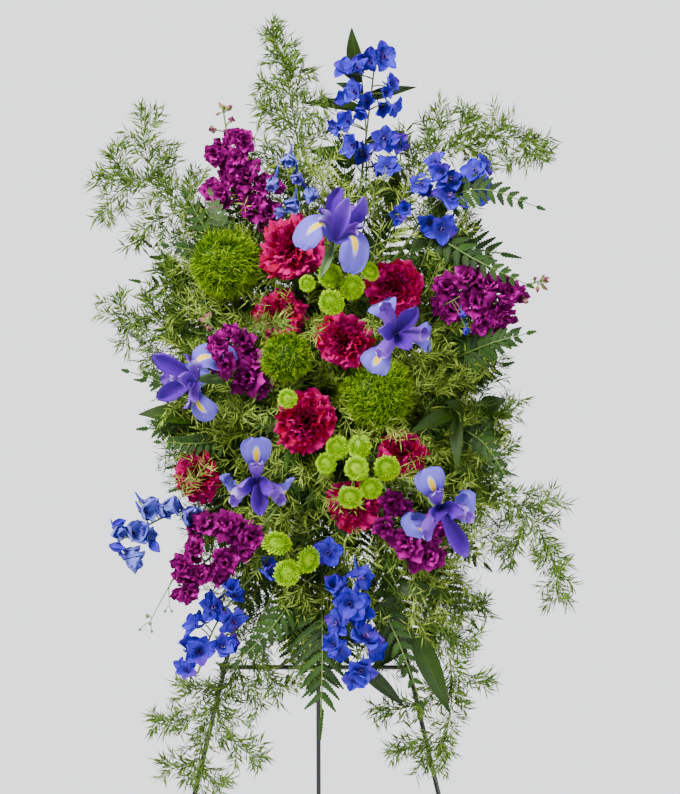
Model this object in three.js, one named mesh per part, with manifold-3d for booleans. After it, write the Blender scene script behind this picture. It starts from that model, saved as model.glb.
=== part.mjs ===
// A standing funeral spray: cut flowers and foliage pushed into a wet foam block, whose plastic cage
// hangs on a folding wire easel. Millimetres, +Z up, the front of the spray faces -Y, and the origin
// is on the floor under the middle of the whole.
import * as THREE from "three";
import { mergeVertices } from "three/addons/utils/BufferGeometryUtils.js";
import Module from "manifold-3d";

const wasm = await Module();
wasm.setup();

// Driving dimensions of the easel
const ROD_RADIUS = 3; // 6 mm wire
const FRONT_FOOT_Y = -266;
const FOOT_SPREAD = 576; // between the two front feet
const APEX_ALONG = 1247; // where the lines of the front legs meet, measured up the slope
const LEG_TOP_ALONG = 1225;
const LEAN = 10 * (Math.PI / 180); // the front frame leans back
const OPEN_ANGLE = 28 * (Math.PI / 180); // between the front frame and the open back leg
const HINGE_ALONG = 1196;
const CROSSBAR_ALONG = 750;
const FIT = 0.3; // between pieces that touch

// Driving dimensions of the flower holder
const FOAM = { width: 110, depth: 80, height: 230 };
const FOAM_ALONG = 1077; // middle of the foam, up the slope
const TRAY_THICKNESS = 3;
const GRID_THICKNESS = 2.5;
const BAR_WIDTH = 3;
const STEM_CLEARANCE = 0.5;

// Places of blooms and leaves are given as [across, height], where they appear against the bloom
// plane from the eye, and each has its own depth.
const EYE = new THREE.Vector3(29, -3460, 1076);
const BLOOM_PLANE = -260;

const X = new THREE.Vector3(1, 0, 0);
const UP = new THREE.Vector3(0, 0, 1);
const FRONT = new THREE.Vector3(0, -1, 0);
const TURN = 2 * Math.PI;

const v3 = (x, y, z) => new THREE.Vector3(x, y, z);
const unit = (x, y, z) => v3(x, y, z).normalize();
const beyond = (point, direction, distance) =>
  point.clone().addScaledVector(direction, distance);

// Where a thing seen at [across, height] really is at a depth.
function seen([across, height], depth) {
  const spread = (depth - EYE.y) / (BLOOM_PLANE - EYE.y);
  return v3(EYE.x + (across - EYE.x) * spread, depth, EYE.z + (height - EYE.z) * spread);
}

// A repeatable random draw between low and high.
function seeded(seed) {
  let state = seed;
  return (low = 0, high = 1) => {
    state = (state + 0x6d2b79f5) | 0;
    let mixed = Math.imul(state ^ (state >>> 15), 1 | state);
    mixed = (mixed + Math.imul(mixed ^ (mixed >>> 7), 61 | mixed)) ^ mixed;
    return low + (high - low) * (((mixed ^ (mixed >>> 14)) >>> 0) / 4294967296);
  };
}

// A closed surface that grows from loop to loop. A loop runs anticlockwise about the way it grows.
class Surface {
  points = [];
  faces = [];

  point(p) {
    this.points.push(p);
    return this.points.length - 1;
  }

  ring(centre, direction, across, radius, sides) {
    const first = beyond(across, direction, -across.dot(direction)).normalize();
    const second = direction.clone().cross(first);
    return Array.from({ length: sides }, (_, i) => {
      const angle = (TURN * i) / sides;
      const out = beyond(first.clone().multiplyScalar(Math.cos(angle)), second, Math.sin(angle));
      return this.point(beyond(centre, out, radius));
    });
  }

  wall([a, b, c, d]) {
    this.faces.push([a, b, c], [a, c, d]);
  }

  // The four-sided openings between two loops of as many points.
  openings(near, far) {
    return near.map((_, i) => {
      const j = (i + 1) % near.length;
      return [near[i], near[j], far[j], far[i]];
    });
  }

  walls(near, far) {
    this.openings(near, far).forEach((loop) => this.wall(loop));
  }

  fan(loop, tip) {
    loop.forEach((from, i) => this.faces.push([from, loop[(i + 1) % loop.length], tip]));
  }

  tip(loop, place) {
    this.fan(loop, this.point(place));
  }

  // A flat end that faces the way the loop grows, or back.
  lid(loop) {
    for (let i = 1; i < loop.length - 1; i++) this.faces.push([loop[0], loop[i], loop[i + 1]]);
  }

  base(loop) {
    this.lid([...loop].reverse());
  }

  // Walls between loops of different numbers of points.
  stitch(near, far) {
    const turned = this.facing(near, far);
    const [n, m] = [near.length, turned.length];
    let [i, j] = [0, 0];
    while (i < n || j < m) {
      if (j === m || (i < n && (i + 1) * m <= (j + 1) * n)) {
        this.faces.push([near[i], near[(i + 1) % n], turned[j % m]]);
        i += 1;
      } else {
        this.faces.push([near[i % n], turned[(j + 1) % m], turned[j]]);
        j += 1;
      }
    }
  }

  // The far loop, started at the point that lies nearest the start of the near one.
  facing(near, far) {
    const start = this.points[near[0]];
    const gaps = far.map((index) => this.points[index].distanceTo(start));
    const shift = gaps.indexOf(Math.min(...gaps));
    return far.map((_, i) => far[(i + shift) % far.length]);
  }

  // The far loop, turned so that its points lie nearest those of a near loop of as many.
  matched(near, far) {
    let best = far;
    let least = Infinity;
    for (let shift = 0; shift < far.length; shift++) {
      const turned = far.map((_, i) => far[(i + shift) % far.length]);
      const gap = near.reduce(
        (sum, index, i) => sum + this.points[index].distanceTo(this.points[turned[i]]),
        0,
      );
      if (gap < least) [best, least] = [turned, gap];
    }
    return best;
  }

  middle(loop) {
    const sum = loop.reduce((total, index) => total.add(this.points[index]), v3(0, 0, 0));
    return sum.divideScalar(loop.length);
  }

  outward(loop) {
    const [a, b, c] = [loop[0], loop[1], loop[loop.length - 1]].map((i) => this.points[i]);
    return b.clone().sub(a).cross(c.clone().sub(a)).normalize();
  }

  geometry() {
    const geometry = new THREE.BufferGeometry().setFromPoints(this.points);
    geometry.setIndex(this.faces.flat());
    geometry.computeVertexNormals();
    return geometry;
  }
}

// The room that is already taken, as balls that belong to plants.
class Room {
  static CELL = 12;
  cells = new Map();

  near(place, reach) {
    const keys = [];
    const [low, high] = [-reach, reach].map((r) =>
      place.clone().addScalar(r).divideScalar(Room.CELL).floor(),
    );
    for (let x = low.x; x <= high.x; x++)
      for (let y = low.y; y <= high.y; y++)
        for (let z = low.z; z <= high.z; z++) keys.push(`${x},${y},${z}`);
    return keys;
  }

  take(owner, place, radius) {
    for (const key of this.near(place, radius)) {
      if (!this.cells.has(key)) this.cells.set(key, []);
      this.cells.get(key).push({ owner, place, radius });
    }
  }

  // How deep a ball would sink into what others have taken.
  sunk(owner, place, radius) {
    let most = 0;
    for (const key of this.near(place, radius))
      for (const ball of this.cells.get(key) ?? [])
        if (ball.owner !== owner)
          most = Math.max(most, radius + ball.radius - ball.place.distanceTo(place));
    return most;
  }

  takeSurface(owner, surface, spacing) {
    for (const face of surface.faces) {
      const [a, b, c] = face.map((i) => surface.points[i]);
      const longest = Math.max(a.distanceTo(b), b.distanceTo(c), c.distanceTo(a));
      const steps = Math.max(1, Math.ceil(longest / spacing));
      for (let i = 0; i <= steps; i++)
        for (let j = 0; j <= steps - i; j++) {
          const place = a.clone().multiplyScalar(1 - (i + j) / steps);
          place.addScaledVector(b, i / steps).addScaledVector(c, j / steps);
          this.take(owner, place, spacing * 0.45);
        }
    }
  }
}

const SHARED_RING_GAP = 6; // openings along a stem that are nearer than this share a ring

// A stem along a smooth curve through points, left open at each site for what grows there.
// A site is { t, length, grow(openings) }, and grow returns which openings it has used.
function growStem(surface, points, { radius, sides = 3, sites = [], start }) {
  const curve = new THREE.CatmullRomCurve3(points);
  const last = points.length - 1;
  const speed = (t) =>
    curve.getPoint(Math.min(1, t + 0.005)).distanceTo(curve.getPoint(Math.max(0, t - 0.005))) / 0.01;
  const marks = points.map((_, i) => ({ t: i / last }));
  for (const site of sites) {
    const half = site.length / 2 / speed(site.t);
    const clear = half + SHARED_RING_GAP / speed(site.t);
    for (let i = marks.length - 1; i >= 0; i--) {
      const inner = marks[i].t > 1.01 / last && marks[i].t < 0.999;
      if (!marks[i].fixed && inner && Math.abs(marks[i].t - site.t) < clear) marks.splice(i, 1);
    }
    marks.push({ t: site.t - half, site, fixed: true }, { t: site.t + half, fixed: true });
  }
  marks.sort((a, b) => a.t - b.t);
  for (let i = marks.length - 2; i > 0; i--) {
    const ends = marks[i].fixed && !marks[i].site && marks[i + 1].site;
    const gap = (marks[i + 1].t - marks[i].t) * speed(marks[i].t);
    if (ends && gap < SHARED_RING_GAP) marks.splice(i, 1);
  }
  let direction = curve.getTangent(marks[0].t);
  let across = Math.abs(direction.dot(X)) < 0.9 ? X.clone() : UP.clone();
  const thickness = (t) => radius[0] + (radius[1] - radius[0]) * t;
  let ring = surface.ring(curve.getPoint(marks[0].t), direction, across, thickness(0), sides);
  if (start) {
    if (start.length === sides) surface.walls(start, surface.matched(start, ring));
    else surface.stitch(start, ring);
    if (start.length === sides) ring = surface.matched(start, ring);
  } else surface.base(ring);
  for (let k = 1; k < marks.length; k++) {
    const { t } = marks[k];
    direction = curve.getTangent(t);
    across = beyond(across, direction, -across.dot(direction)).normalize();
    let next = surface.ring(curve.getPoint(t), direction, across, thickness(t), sides);
    next = surface.matched(ring, next);
    const openings = surface.openings(ring, next);
    const used = marks[k - 1].site?.grow(openings) ?? [];
    openings.forEach((loop, i) => used.includes(i) || surface.wall(loop));
    ring = next;
  }
  return { ring, direction };
}

// The opening whose outside looks most nearly one way.
function openingTowards(surface, openings, direction, used = []) {
  const looks = openings.map((loop, i) =>
    used.includes(i) ? -Infinity : surface.outward(loop).dot(direction),
  );
  return looks.indexOf(Math.max(...looks));
}

const BLADE_THICKNESS = 1.2; // of a leaf or an iris petal, on its rib

// A thin blade grown from a four-sided opening: knife edges, thickest on its rib. The spine ends
// at the tip, and face is the way its upper side looks.
function growBlade(surface, opening, spine, halfWidths, face) {
  let loop = opening;
  for (let k = 0; k < spine.length - 1; k++) {
    const along = spine[k + 1].clone().sub(spine[Math.max(0, k - 1)]).normalize();
    const top = beyond(face, along, -face.dot(along)).normalize();
    const side = top.clone().cross(along);
    const next = [
      beyond(spine[k], side, halfWidths[k]),
      beyond(spine[k], top, BLADE_THICKNESS / 2),
      beyond(spine[k], side, -halfWidths[k]),
      beyond(spine[k], top, -BLADE_THICKNESS / 2),
    ].map((p) => surface.point(p));
    const turned = surface.matched(loop, next);
    surface.walls(loop, turned);
    loop = turned;
  }
  surface.tip(loop, spine.at(-1));
}

// A fern leaflet grown from a four-sided opening: cut almost to its rib into lobes on both sides.
function growPinna(surface, opening, from, along, face, length, halfWidth, lobes) {
  const top = beyond(face, along, -face.dot(along)).normalize();
  const side = top.clone().cross(along);
  const spot = (distance, across, height) =>
    surface.point(beyond(beyond(beyond(from, along, distance), side, across), top, height));
  const section = (distance, notch) => [
    spot(distance, notch, 0),
    spot(distance, 0, BLADE_THICKNESS / 2),
    spot(distance, -notch, 0),
    spot(distance, 0, -BLADE_THICKNESS / 2),
  ];
  const step = length / (lobes + 1);
  const reach = (k) => halfWidth * (1 - (0.55 * k) / lobes);
  let near = section(step * 0.25, 1);
  const root = surface.matched(opening, near);
  surface.walls(opening, root);
  for (let k = 0; k < lobes; k++) {
    const far = section(step * (k + 1.1), 0.25 * reach(k + 1));
    const [tipA, tipB] = [1, -1].map((s) => spot(step * (k + 1.15), s * reach(k), -0.1 * reach(k)));
    const [edgeA, rib, edgeB, under] = near;
    const [edgeA2, rib2, edgeB2, under2] = far;
    surface.faces.push([rib, rib2, edgeA2], [rib, edgeA2, tipA], [rib, tipA, edgeA]);
    surface.faces.push([under, edgeA2, under2], [under, tipA, edgeA2], [under, edgeA, tipA]);
    surface.faces.push([rib, edgeB2, rib2], [rib, tipB, edgeB2], [rib, edgeB, tipB]);
    surface.faces.push([under, under2, edgeB2], [under, edgeB2, tipB], [under, tipB, edgeB]);
    near = far;
  }
  surface.tip(near, beyond(beyond(from, along, length), top, -0.12 * halfWidth));
}

// Gives points round a bloom: out from its middle, round from the viewer's right, and forward.
function placer(centre, facing, spin = 0) {
  const right = beyond(X, facing, -X.dot(facing)).normalize();
  const above = facing.clone().cross(right);
  return (out, angle, forward) =>
    beyond(
      beyond(beyond(centre, right, out * Math.cos(angle + spin)), above, out * Math.sin(angle + spin)),
      facing,
      forward,
    );
}

// A ring of points round a bloom whose radius and height swing from one point to the next.
function petalRing(surface, place, count, out, forward, swing = 0, rise = 0, offset = 0) {
  return Array.from({ length: count }, (_, i) => {
    const sign = i % 2 ? -1 : 1;
    return surface.point(
      place(out + sign * swing, (TURN * (i + offset)) / count, forward + sign * rise),
    );
  });
}

function carnationHead(surface, neck, centre, facing, radius, random) {
  const petals = 9;
  const place = placer(centre, facing, random(0, TURN));
  const calyxFoot = petalRing(surface, place, 5, 0.13 * radius, -0.85 * radius);
  const calyxTop = petalRing(surface, place, 5, 0.2 * radius, -0.35 * radius);
  surface.stitch(neck, calyxFoot);
  surface.stitch(calyxFoot, calyxTop);
  // out, forward, swing and rise of each round of petals, from the skirt in to the heart
  const rounds = [
    [0.7, -0.14, 0, 0],
    [0.98, 0.0, 0.06, 0.06],
    [0.78, 0.12, 0, 0],
    [0.85, 0.3, 0.07, 0.05],
    [0.6, 0.26, 0, 0],
    [0.6, 0.47, 0.07, 0.05],
    [0.37, 0.38, 0, 0],
    [0.34, 0.56, 0.06, 0.04],
  ];
  let loop = calyxTop;
  rounds.forEach(([out, forward, swing, rise], i) => {
    const jitter = swing ? random(-0.02, 0.02) : 0;
    const next = petalRing(
      surface,
      place,
      petals,
      (out + jitter) * radius,
      forward * radius,
      swing * radius,
      rise * radius,
      i * 0.15,
    );
    if (i) surface.walls(loop, next);
    else surface.stitch(loop, next);
    loop = next;
  });
  surface.tip(loop, place(0, 0, 0.42 * radius));
}

// A dense round head of short needle-like leaves round a smaller core.
function greenTrickHead(surface, neck, centre, facing, radius, random) {
  const sides = 8;
  const core = 0.84 * radius;
  const place = placer(centre, facing, random(0, TURN));
  const tilts = [-58, -28, 2, 32, 62].map((angle) => angle * (Math.PI / 180));
  let loop = neck;
  tilts.forEach((tilt, k) => {
    const next = petalRing(
      surface,
      place,
      sides,
      core * Math.cos(tilt),
      core * Math.sin(tilt),
      0,
      0,
      (k % 2) * 0.5,
    );
    if (k === 0) surface.stitch(loop, next);
    else
      for (const [a, b, c, d] of surface.openings(loop, surface.matched(loop, next)))
        for (const facet of [
          [a, b, c],
          [a, c, d],
        ]) {
          const out = surface.middle(facet).sub(centre).normalize();
          const spike = beyond(out, unit(random(-1, 1), random(-1, 1), random(-1, 1)), 0.18);
          surface.tip(facet, beyond(centre, spike.normalize(), radius * random(0.94, 1.04)));
        }
    loop = k === 0 ? next : surface.matched(loop, next);
  });
  surface.tip(loop, place(0, 0, 0.97 * radius));
}

// A button chrysanthemum: two rounds of pointed petals round a shallow eye.
function mumHead(surface, neck, centre, facing, radius, random) {
  const sides = 5;
  const place = placer(centre, facing, random(0, TURN));
  const back = petalRing(surface, place, sides, 0.55 * radius, -0.4 * radius);
  const rim = petalRing(surface, place, sides, 0.86 * radius, -0.08 * radius, 0, 0, 0.5);
  const shoulder = petalRing(surface, place, sides, 0.72 * radius, 0.34 * radius);
  const crown = petalRing(surface, place, sides, 0.36 * radius, 0.5 * radius, 0, 0, 0.5);
  surface.stitch(neck, back);
  surface.walls(back, rim);
  for (const [inner, outer, out, forward] of [
    [rim, shoulder, 1.06, 0.12],
    [shoulder, crown, 0.74, 0.62],
  ])
    for (const opening of surface.openings(inner, outer)) {
      const away = surface.middle(opening).sub(centre);
      away.addScaledVector(facing, -away.dot(facing)).normalize();
      surface.tip(opening, beyond(beyond(centre, away, out * radius), facing, forward * radius));
    }
  surface.tip(crown, place(0, 0, 0.42 * radius));
}

// A delphinium floret: five broad sepals in a shallow cup, with a spur behind the upper one.
function delphiniumFloret(surface, neck, centre, facing, radius, random) {
  const place = placer(centre, facing, random(0, TURN));
  const outline = [];
  for (let sepal = 0; sepal < 5; sepal++) {
    const turn = (TURN * sepal) / 5;
    outline.push(
      surface.point(place(0.5 * radius, turn - 0.62, 0.06 * radius)),
      surface.point(place(radius, turn - 0.3, random(0.12, 0.3) * radius)),
      surface.point(place(radius, turn + 0.3, random(0.12, 0.3) * radius)),
    );
  }
  const before = surface.faces.length;
  surface.stitch(neck, outline);
  surface.tip(outline, place(0, 0, 0.02 * radius));
  const backs = surface.faces.slice(before, before + neck.length + outline.length);
  const heights = backs.map((face) => surface.middle(face).z);
  const spurred = before + heights.indexOf(Math.max(...heights));
  const [facet] = surface.faces.splice(spurred, 1);
  const end = beyond(beyond(surface.middle(facet), facing, -0.7 * radius), UP, 0.35 * radius);
  surface.tip(facet, end);
}

// A double stock floret: a ruffled saucer of four petals with a raised rosette in it.
function stockFloret(surface, neck, centre, facing, radius, random) {
  const place = placer(centre, facing, random(0, TURN));
  const saucer = petalRing(surface, place, 8, 0.86 * radius, 0.1 * radius, 0.14 * radius, -0.12 * radius);
  const rosette = petalRing(surface, place, 4, 0.42 * radius, 0.42 * radius, 0, 0, 0.3);
  surface.stitch(neck, saucer);
  surface.stitch(saucer, rosette);
  surface.tip(rosette, place(0, 0, 0.2 * radius));
}

// An iris: three falls, each under a style arm, and three standards between them.
function irisHead(surface, neck, centre, facing, { radius, spin, droop }, random) {
  const place = placer(centre, facing, spin);
  const foot = petalRing(surface, place, 6, 0.1 * radius, -0.06 * radius, 0, 0, 0.5);
  const waist = petalRing(surface, place, 6, 0.1 * radius, 0.06 * radius, 0, 0, 0.5);
  const mouth = petalRing(surface, place, 6, 0.1 * radius, 0.18 * radius, 0, 0, 0.5);
  surface.stitch(neck, foot);
  // out and forward of each petal's rib when the bloom lies open flat, and when its falls droop
  const blend = (flat, drooped) => flat.map((value, i) => value + (drooped[i] - value) * droop);
  const fall = {
    out: blend([0.3, 0.62, 0.85, 1.04, 1.12], [0.25, 0.45, 0.68, 0.8, 0.76]),
    forward: blend([0.06, 0.12, 0.12, 0.02, -0.06], [0.2, 0.42, 0.28, -0.1, -0.3]),
    width: [0.08, 0.14, 0.3, 0.24],
  };
  const style = { out: [0.24, 0.46, 0.62], forward: blend([0.24, 0.28, 0.34], [0.42, 0.62, 0.66]) };
  const standard = {
    out: blend([0.3, 0.62, 0.9], [0.16, 0.26, 0.3]),
    forward: blend([0.3, 0.5, 0.5], [0.42, 0.9, 1.3]),
  };
  const rib = ({ out, forward }, angle) =>
    out.map((away, i) => place(away * radius, angle, forward[i] * radius));
  const grow = (opening, shape, angle, widths) => {
    const outwards = place(1, angle, 0).sub(centre);
    const face = beyond(facing, outwards, 0.9 * droop).normalize();
    growBlade(surface, opening, rib(shape, angle), widths.map((w) => w * radius), face);
  };
  surface.openings(foot, waist).forEach((opening, i) => {
    const side = (i + 1) * (TURN / 6);
    if (i % 2) grow(opening, fall, side, fall.width);
    else surface.wall(opening);
  });
  surface.openings(waist, mouth).forEach((opening, i) => {
    const side = (i + 1) * (TURN / 6);
    if (i % 2) grow(opening, style, side, [0.1, 0.13]);
    else grow(opening, standard, side + random(-0.1, 0.1), [0.09, 0.14]);
  });
  surface.tip(mouth, place(0, 0, 0.24 * radius));
}

// The point of a curve, as its parameter, that comes nearest a place.
function nearestOn(curve, place, low, high) {
  let best = low;
  let least = Infinity;
  for (let t = low; t <= high; t += 0.004) {
    const gap = curve.getPoint(t).distanceTo(place);
    if (gap < least) [best, least] = [t, gap];
  }
  return best;
}

// Moves sites apart along a stem, so that each has its own length of it.
function spacedOut(curve, sites, gap, high = 0.985) {
  const perMillimetre = 1 / curve.getLength();
  sites.sort((a, b) => a.t - b.t);
  for (let i = 1; i < sites.length; i++)
    sites[i].t = Math.max(sites[i].t, sites[i - 1].t + gap * perMillimetre);
  let limit = high;
  for (let i = sites.length - 1; i >= 0; i--) {
    sites[i].t = Math.min(sites[i].t, limit);
    limit = sites[i].t - gap * perMillimetre;
  }
  return sites;
}

// One bloom on its own stem.
function singleBloom(name, colour, { at, depth, radius, facing, away, stem = 2.6, head, seed, details }) {
  const random = seeded(seed);
  const centre = seen(at, depth);
  const back = beyond(centre, facing, -radius * (details ? 0.5 : 0.95));
  return {
    name,
    colour,
    stem,
    path: [beyond(back, away ?? facing.clone().negate(), 0.5 * radius), back],
    claims: details
      ? [[centre, radius * 0.35]]
      : [
          [beyond(centre, facing, 0.1 * radius), radius * 0.75],
          [back, radius * 0.2],
        ],
    build(surface, points) {
      const { ring } = growStem(surface, points, { radius: [stem, stem] });
      head(surface, ring, centre, facing, details ? { radius, ...details } : radius, random);
    },
  };
}

const BUD_SIZE = 10; // a bloom smaller than this is still shut

function bud(surface, neck, place, facing, size) {
  const belly = surface.ring(place, facing, X, 0.45 * size, 4);
  const turned = surface.matched(neck, belly);
  surface.walls(neck, turned);
  surface.tip(turned, beyond(place, facing, 0.9 * size));
}

// Several blooms on short stalks along one stem.
function bloomSpike(name, colour, { path, depth, blooms, radius, head, stem = 2.4, stalk = 1.1, seed }) {
  const random = seeded(seed);
  const stemPoints = path.map(([x, z, y = depth]) => seen([x, z], y));
  const heads = blooms.map(([x, z, size = radius, forward = 14]) => ({
    place: seen([x, z], depth - forward),
    size,
  }));
  return {
    name,
    colour,
    stem,
    path: stemPoints,
    claims: heads.map(({ place, size }) => [place, 0.6 * size]),
    build(surface, points) {
      const curve = new THREE.CatmullRomCurve3(points);
      const low = (points.length - stemPoints.length) / (points.length - 1);
      const sites = heads.map(({ place, size }) => ({
        t: nearestOn(curve, beyond(place, UP, -0.4 * size), low, 0.97),
        length: 3,
        grow(openings) {
          const from = surface.middle(openings.flat());
          const away = place.clone().sub(from).normalize();
          const facing = away.multiplyScalar(0.75).add(FRONT).normalize();
          const pick = openingTowards(surface, openings, place.clone().sub(from).normalize());
          const neck = surface.ring(beyond(place, facing, -0.32 * size), facing, X, stalk, 4);
          const turned = surface.matched(openings[pick], neck);
          surface.walls(openings[pick], turned);
          if (size < BUD_SIZE) bud(surface, turned, place, facing, size);
          else head(surface, turned, place, facing, size, random);
          return [pick];
        },
      }));
      const { ring, direction } = growStem(surface, points, {
        radius: [stem, 1.2],
        sites: spacedOut(curve, sites, 5),
      });
      surface.tip(ring, beyond(points.at(-1), direction, 7));
    },
  };
}

// A fern frond: a rib with cut leaflets in pairs, shorter towards its tip.
function fernFrond(name, { path, depth, pairs, reach, width, face = v3(0, -1, 0.25), stem = 1.7 }) {
  const ribPoints = path.map(([x, z, y = depth]) => seen([x, z], y));
  const profile = (k) => reach * (1 - (0.72 * k) / pairs);
  const leaflets = [];
  const rib = new THREE.CatmullRomCurve3(ribPoints);
  for (let k = 0; k < pairs; k++)
    for (const side of [1, -1]) {
      const t = 0.06 + (0.86 * k) / pairs;
      const along = rib.getTangent(t);
      const across = face.clone().cross(along).normalize().multiplyScalar(side);
      const sweep = 0.75 + (0.35 * k) / pairs;
      const way = across.addScaledVector(along, sweep).addScaledVector(face, -0.12).normalize();
      leaflets.push({ t, way, place: rib.getPoint(t), length: profile(k) });
    }
  return {
    name,
    colour: FERN,
    stem,
    sides: 4,
    path: ribPoints,
    claims: leaflets.flatMap(({ place, way, length }) =>
      [0.3, 0.6, 0.9].map((share) => [beyond(place, way, share * length), 0.12 * length]),
    ),
    build(surface, points) {
      const low = (points.length - ribPoints.length) / (points.length - 1);
      const sites = [];
      for (let k = 0; k < pairs; k++) {
        const pair = leaflets.slice(2 * k, 2 * k + 2);
        sites.push({
          t: low + (1 - low) * pair[0].t,
          length: 3,
          grow(openings) {
            const used = [];
            for (const { way, place, length } of pair) {
              const pick = openingTowards(surface, openings, way, used);
              used.push(pick);
              const lobes = length > 0.75 * reach ? 2 : 1;
              const root = beyond(place, way, 2);
              const halfWidth = width * Math.sqrt(length / reach);
              growPinna(surface, openings[pick], root, way, face, length, halfWidth, lobes);
            }
            return used;
          },
        });
      }
      const { ring, direction } = growStem(surface, points, { radius: [stem, 0.8], sides: 4, sites });
      growPinna(surface, ring, points.at(-1), direction, face, 0.45 * reach, 0.6 * width, 2);
    },
  };
}

// A leafy stem: broad pointed leaves, each from its own place on the stem to its tip.
function leafyStem(name, { path, depth, leaves, stem = 1.8, face = v3(0, -1, 0.3) }) {
  const stemPoints = path.map(([x, z, y = depth]) => seen([x, z], y));
  const blades = leaves.map(([[x, z, y = depth], [tipX, tipZ, tipY = depth - 10], halfWidth]) => ({
    foot: seen([x, z], y),
    tip: seen([tipX, tipZ], tipY),
    halfWidth,
  }));
  return {
    name,
    colour: LEAF,
    stem,
    path: stemPoints,
    claims: blades.map(({ foot, tip, halfWidth }) => [foot.clone().lerp(tip, 0.5), halfWidth * 0.6]),
    build(surface, points) {
      const curve = new THREE.CatmullRomCurve3(points);
      const low = (points.length - stemPoints.length) / (points.length - 1);
      const sites = blades.map(({ foot, tip, halfWidth }) => ({
        t: nearestOn(curve, foot, low, 0.97),
        length: 3,
        grow(openings) {
          const way = tip.clone().sub(foot);
          const arch = beyond(way.clone().multiplyScalar(0.5), face, 0.08 * way.length());
          const spine = [
            foot.clone().addScaledVector(way, 0.06),
            foot.clone().add(arch.clone().multiplyScalar(0.75)),
            foot.clone().add(arch.clone().multiplyScalar(1.5)),
            tip,
          ];
          const pick = openingTowards(surface, openings, way.normalize());
          growBlade(surface, openings[pick], spine, [0.9, halfWidth, 0.72 * halfWidth], face);
          return [pick];
        },
      }));
      const { ring, direction } = growStem(surface, points, {
        radius: [stem, 1],
        sites: spacedOut(curve, sites, 5),
      });
      surface.tip(ring, beyond(points.at(-1), direction, 5));
    },
  };
}

// An asparagus fern spray: a thin main stem and side branches, set with whorls of needles.
function needleSpray(name, { path, depth, branches, seed, whorl = 30, needle = 10, stem = 1.5 }) {
  const random = seeded(seed);
  const mainPoints = path.map(([x, z, y = depth]) => seen([x, z], y));
  const main = new THREE.CatmullRomCurve3(mainPoints);
  const twigs = branches.map(([x, z, y = depth]) => {
    const tip = seen([x, z], y);
    const near = nearestOn(main, tip, 0.02, 0.98);
    const back = Math.min(0.3, (0.55 * main.getPoint(near).distanceTo(tip)) / main.getLength());
    const t = Math.max(0.02, near - back);
    const foot = main.getPoint(t);
    const bend = beyond(foot.clone().lerp(tip, 0.5), main.getTangent(t), 0.12 * foot.distanceTo(tip));
    return { t, points: [foot, bend, tip] };
  });
  const threads = [mainPoints, ...twigs.map((twig) => twig.points)];
  return {
    name,
    colour: NEEDLE,
    stem,
    path: mainPoints,
    last: true,
    claims: threads.flatMap((points) => {
      const thread = new THREE.CatmullRomCurve3(points);
      return thread.getSpacedPoints(Math.ceil(thread.getLength() / 8)).map((place) => [place, 1.6]);
    }),
    build(surface, points, room) {
      const whorls = (curve, low, high) => {
        const length = curve.getLength() * (high - low);
        const count = Math.max(1, Math.floor(length / whorl));
        return Array.from({ length: count }, (_, i) => ({
          t: low + ((high - low) * (i + 0.7)) / count,
          length: 2.2,
          grow(openings) {
            const heart = surface.middle(openings.flat());
            const along = curve.getTangent(this.t);
            for (const [a, b, c, d] of openings)
              for (const facet of [
                [a, b, c],
                [a, c, d],
              ]) {
                const middle = surface.middle(facet);
                const out = middle.clone().sub(heart);
                out.addScaledVector(along, -out.dot(along)).normalize();
                const sway = unit(random(-1, 1), random(-1, 1), random(-1, 1));
                const way = beyond(beyond(out, along, random(0.3, 0.9)), sway, 0.35).normalize();
                const size = needle * random(0.8, 1.15);
                const clash = [0.3, 0.6, 1].some(
                  (share) => room.sunk(name, beyond(middle, way, share * size), 0.7) > 0,
                );
                if (clash) surface.faces.push(facet);
                else surface.tip(facet, beyond(middle, way, size));
              }
            return [0, 1, 2];
          },
        }));
      };
      const curve = new THREE.CatmullRomCurve3(points);
      const low = (points.length - mainPoints.length) / (points.length - 1);
      const forks = twigs.map((twig) => ({
        t: low + (1 - low) * twig.t,
        length: 3,
        grow(openings) {
          const branch = new THREE.CatmullRomCurve3(twig.points);
          const away = branch.getTangent(0.1);
          const pick = openingTowards(surface, openings, away);
          const start = openings[pick];
          const twigPoints = [beyond(surface.middle(start), away, 3), ...twig.points.slice(1)];
          const twigCurve = new THREE.CatmullRomCurve3(twigPoints);
          const { ring, direction } = growStem(surface, twigPoints, {
            radius: [0.8, 0.6],
            start,
            sites: spacedOut(twigCurve, whorls(twigCurve, 0.12, 0.98), 5, 0.99),
          });
          surface.tip(ring, beyond(twigPoints.at(-1), direction, needle * 0.8));
          return [pick];
        },
      }));
      const placed = spacedOut(curve, forks, 6, 0.97);
      const gap = 5 / curve.getLength();
      for (const site of whorls(curve, low + 0.02, 0.99))
        if (placed.every((fork) => Math.abs(fork.t - site.t) > gap)) placed.push(site);
      const { ring, direction } = growStem(surface, points, { radius: [stem, 0.8], sites: placed });
      surface.tip(ring, beyond(points.at(-1), direction, needle));
    },
  };
}

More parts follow.
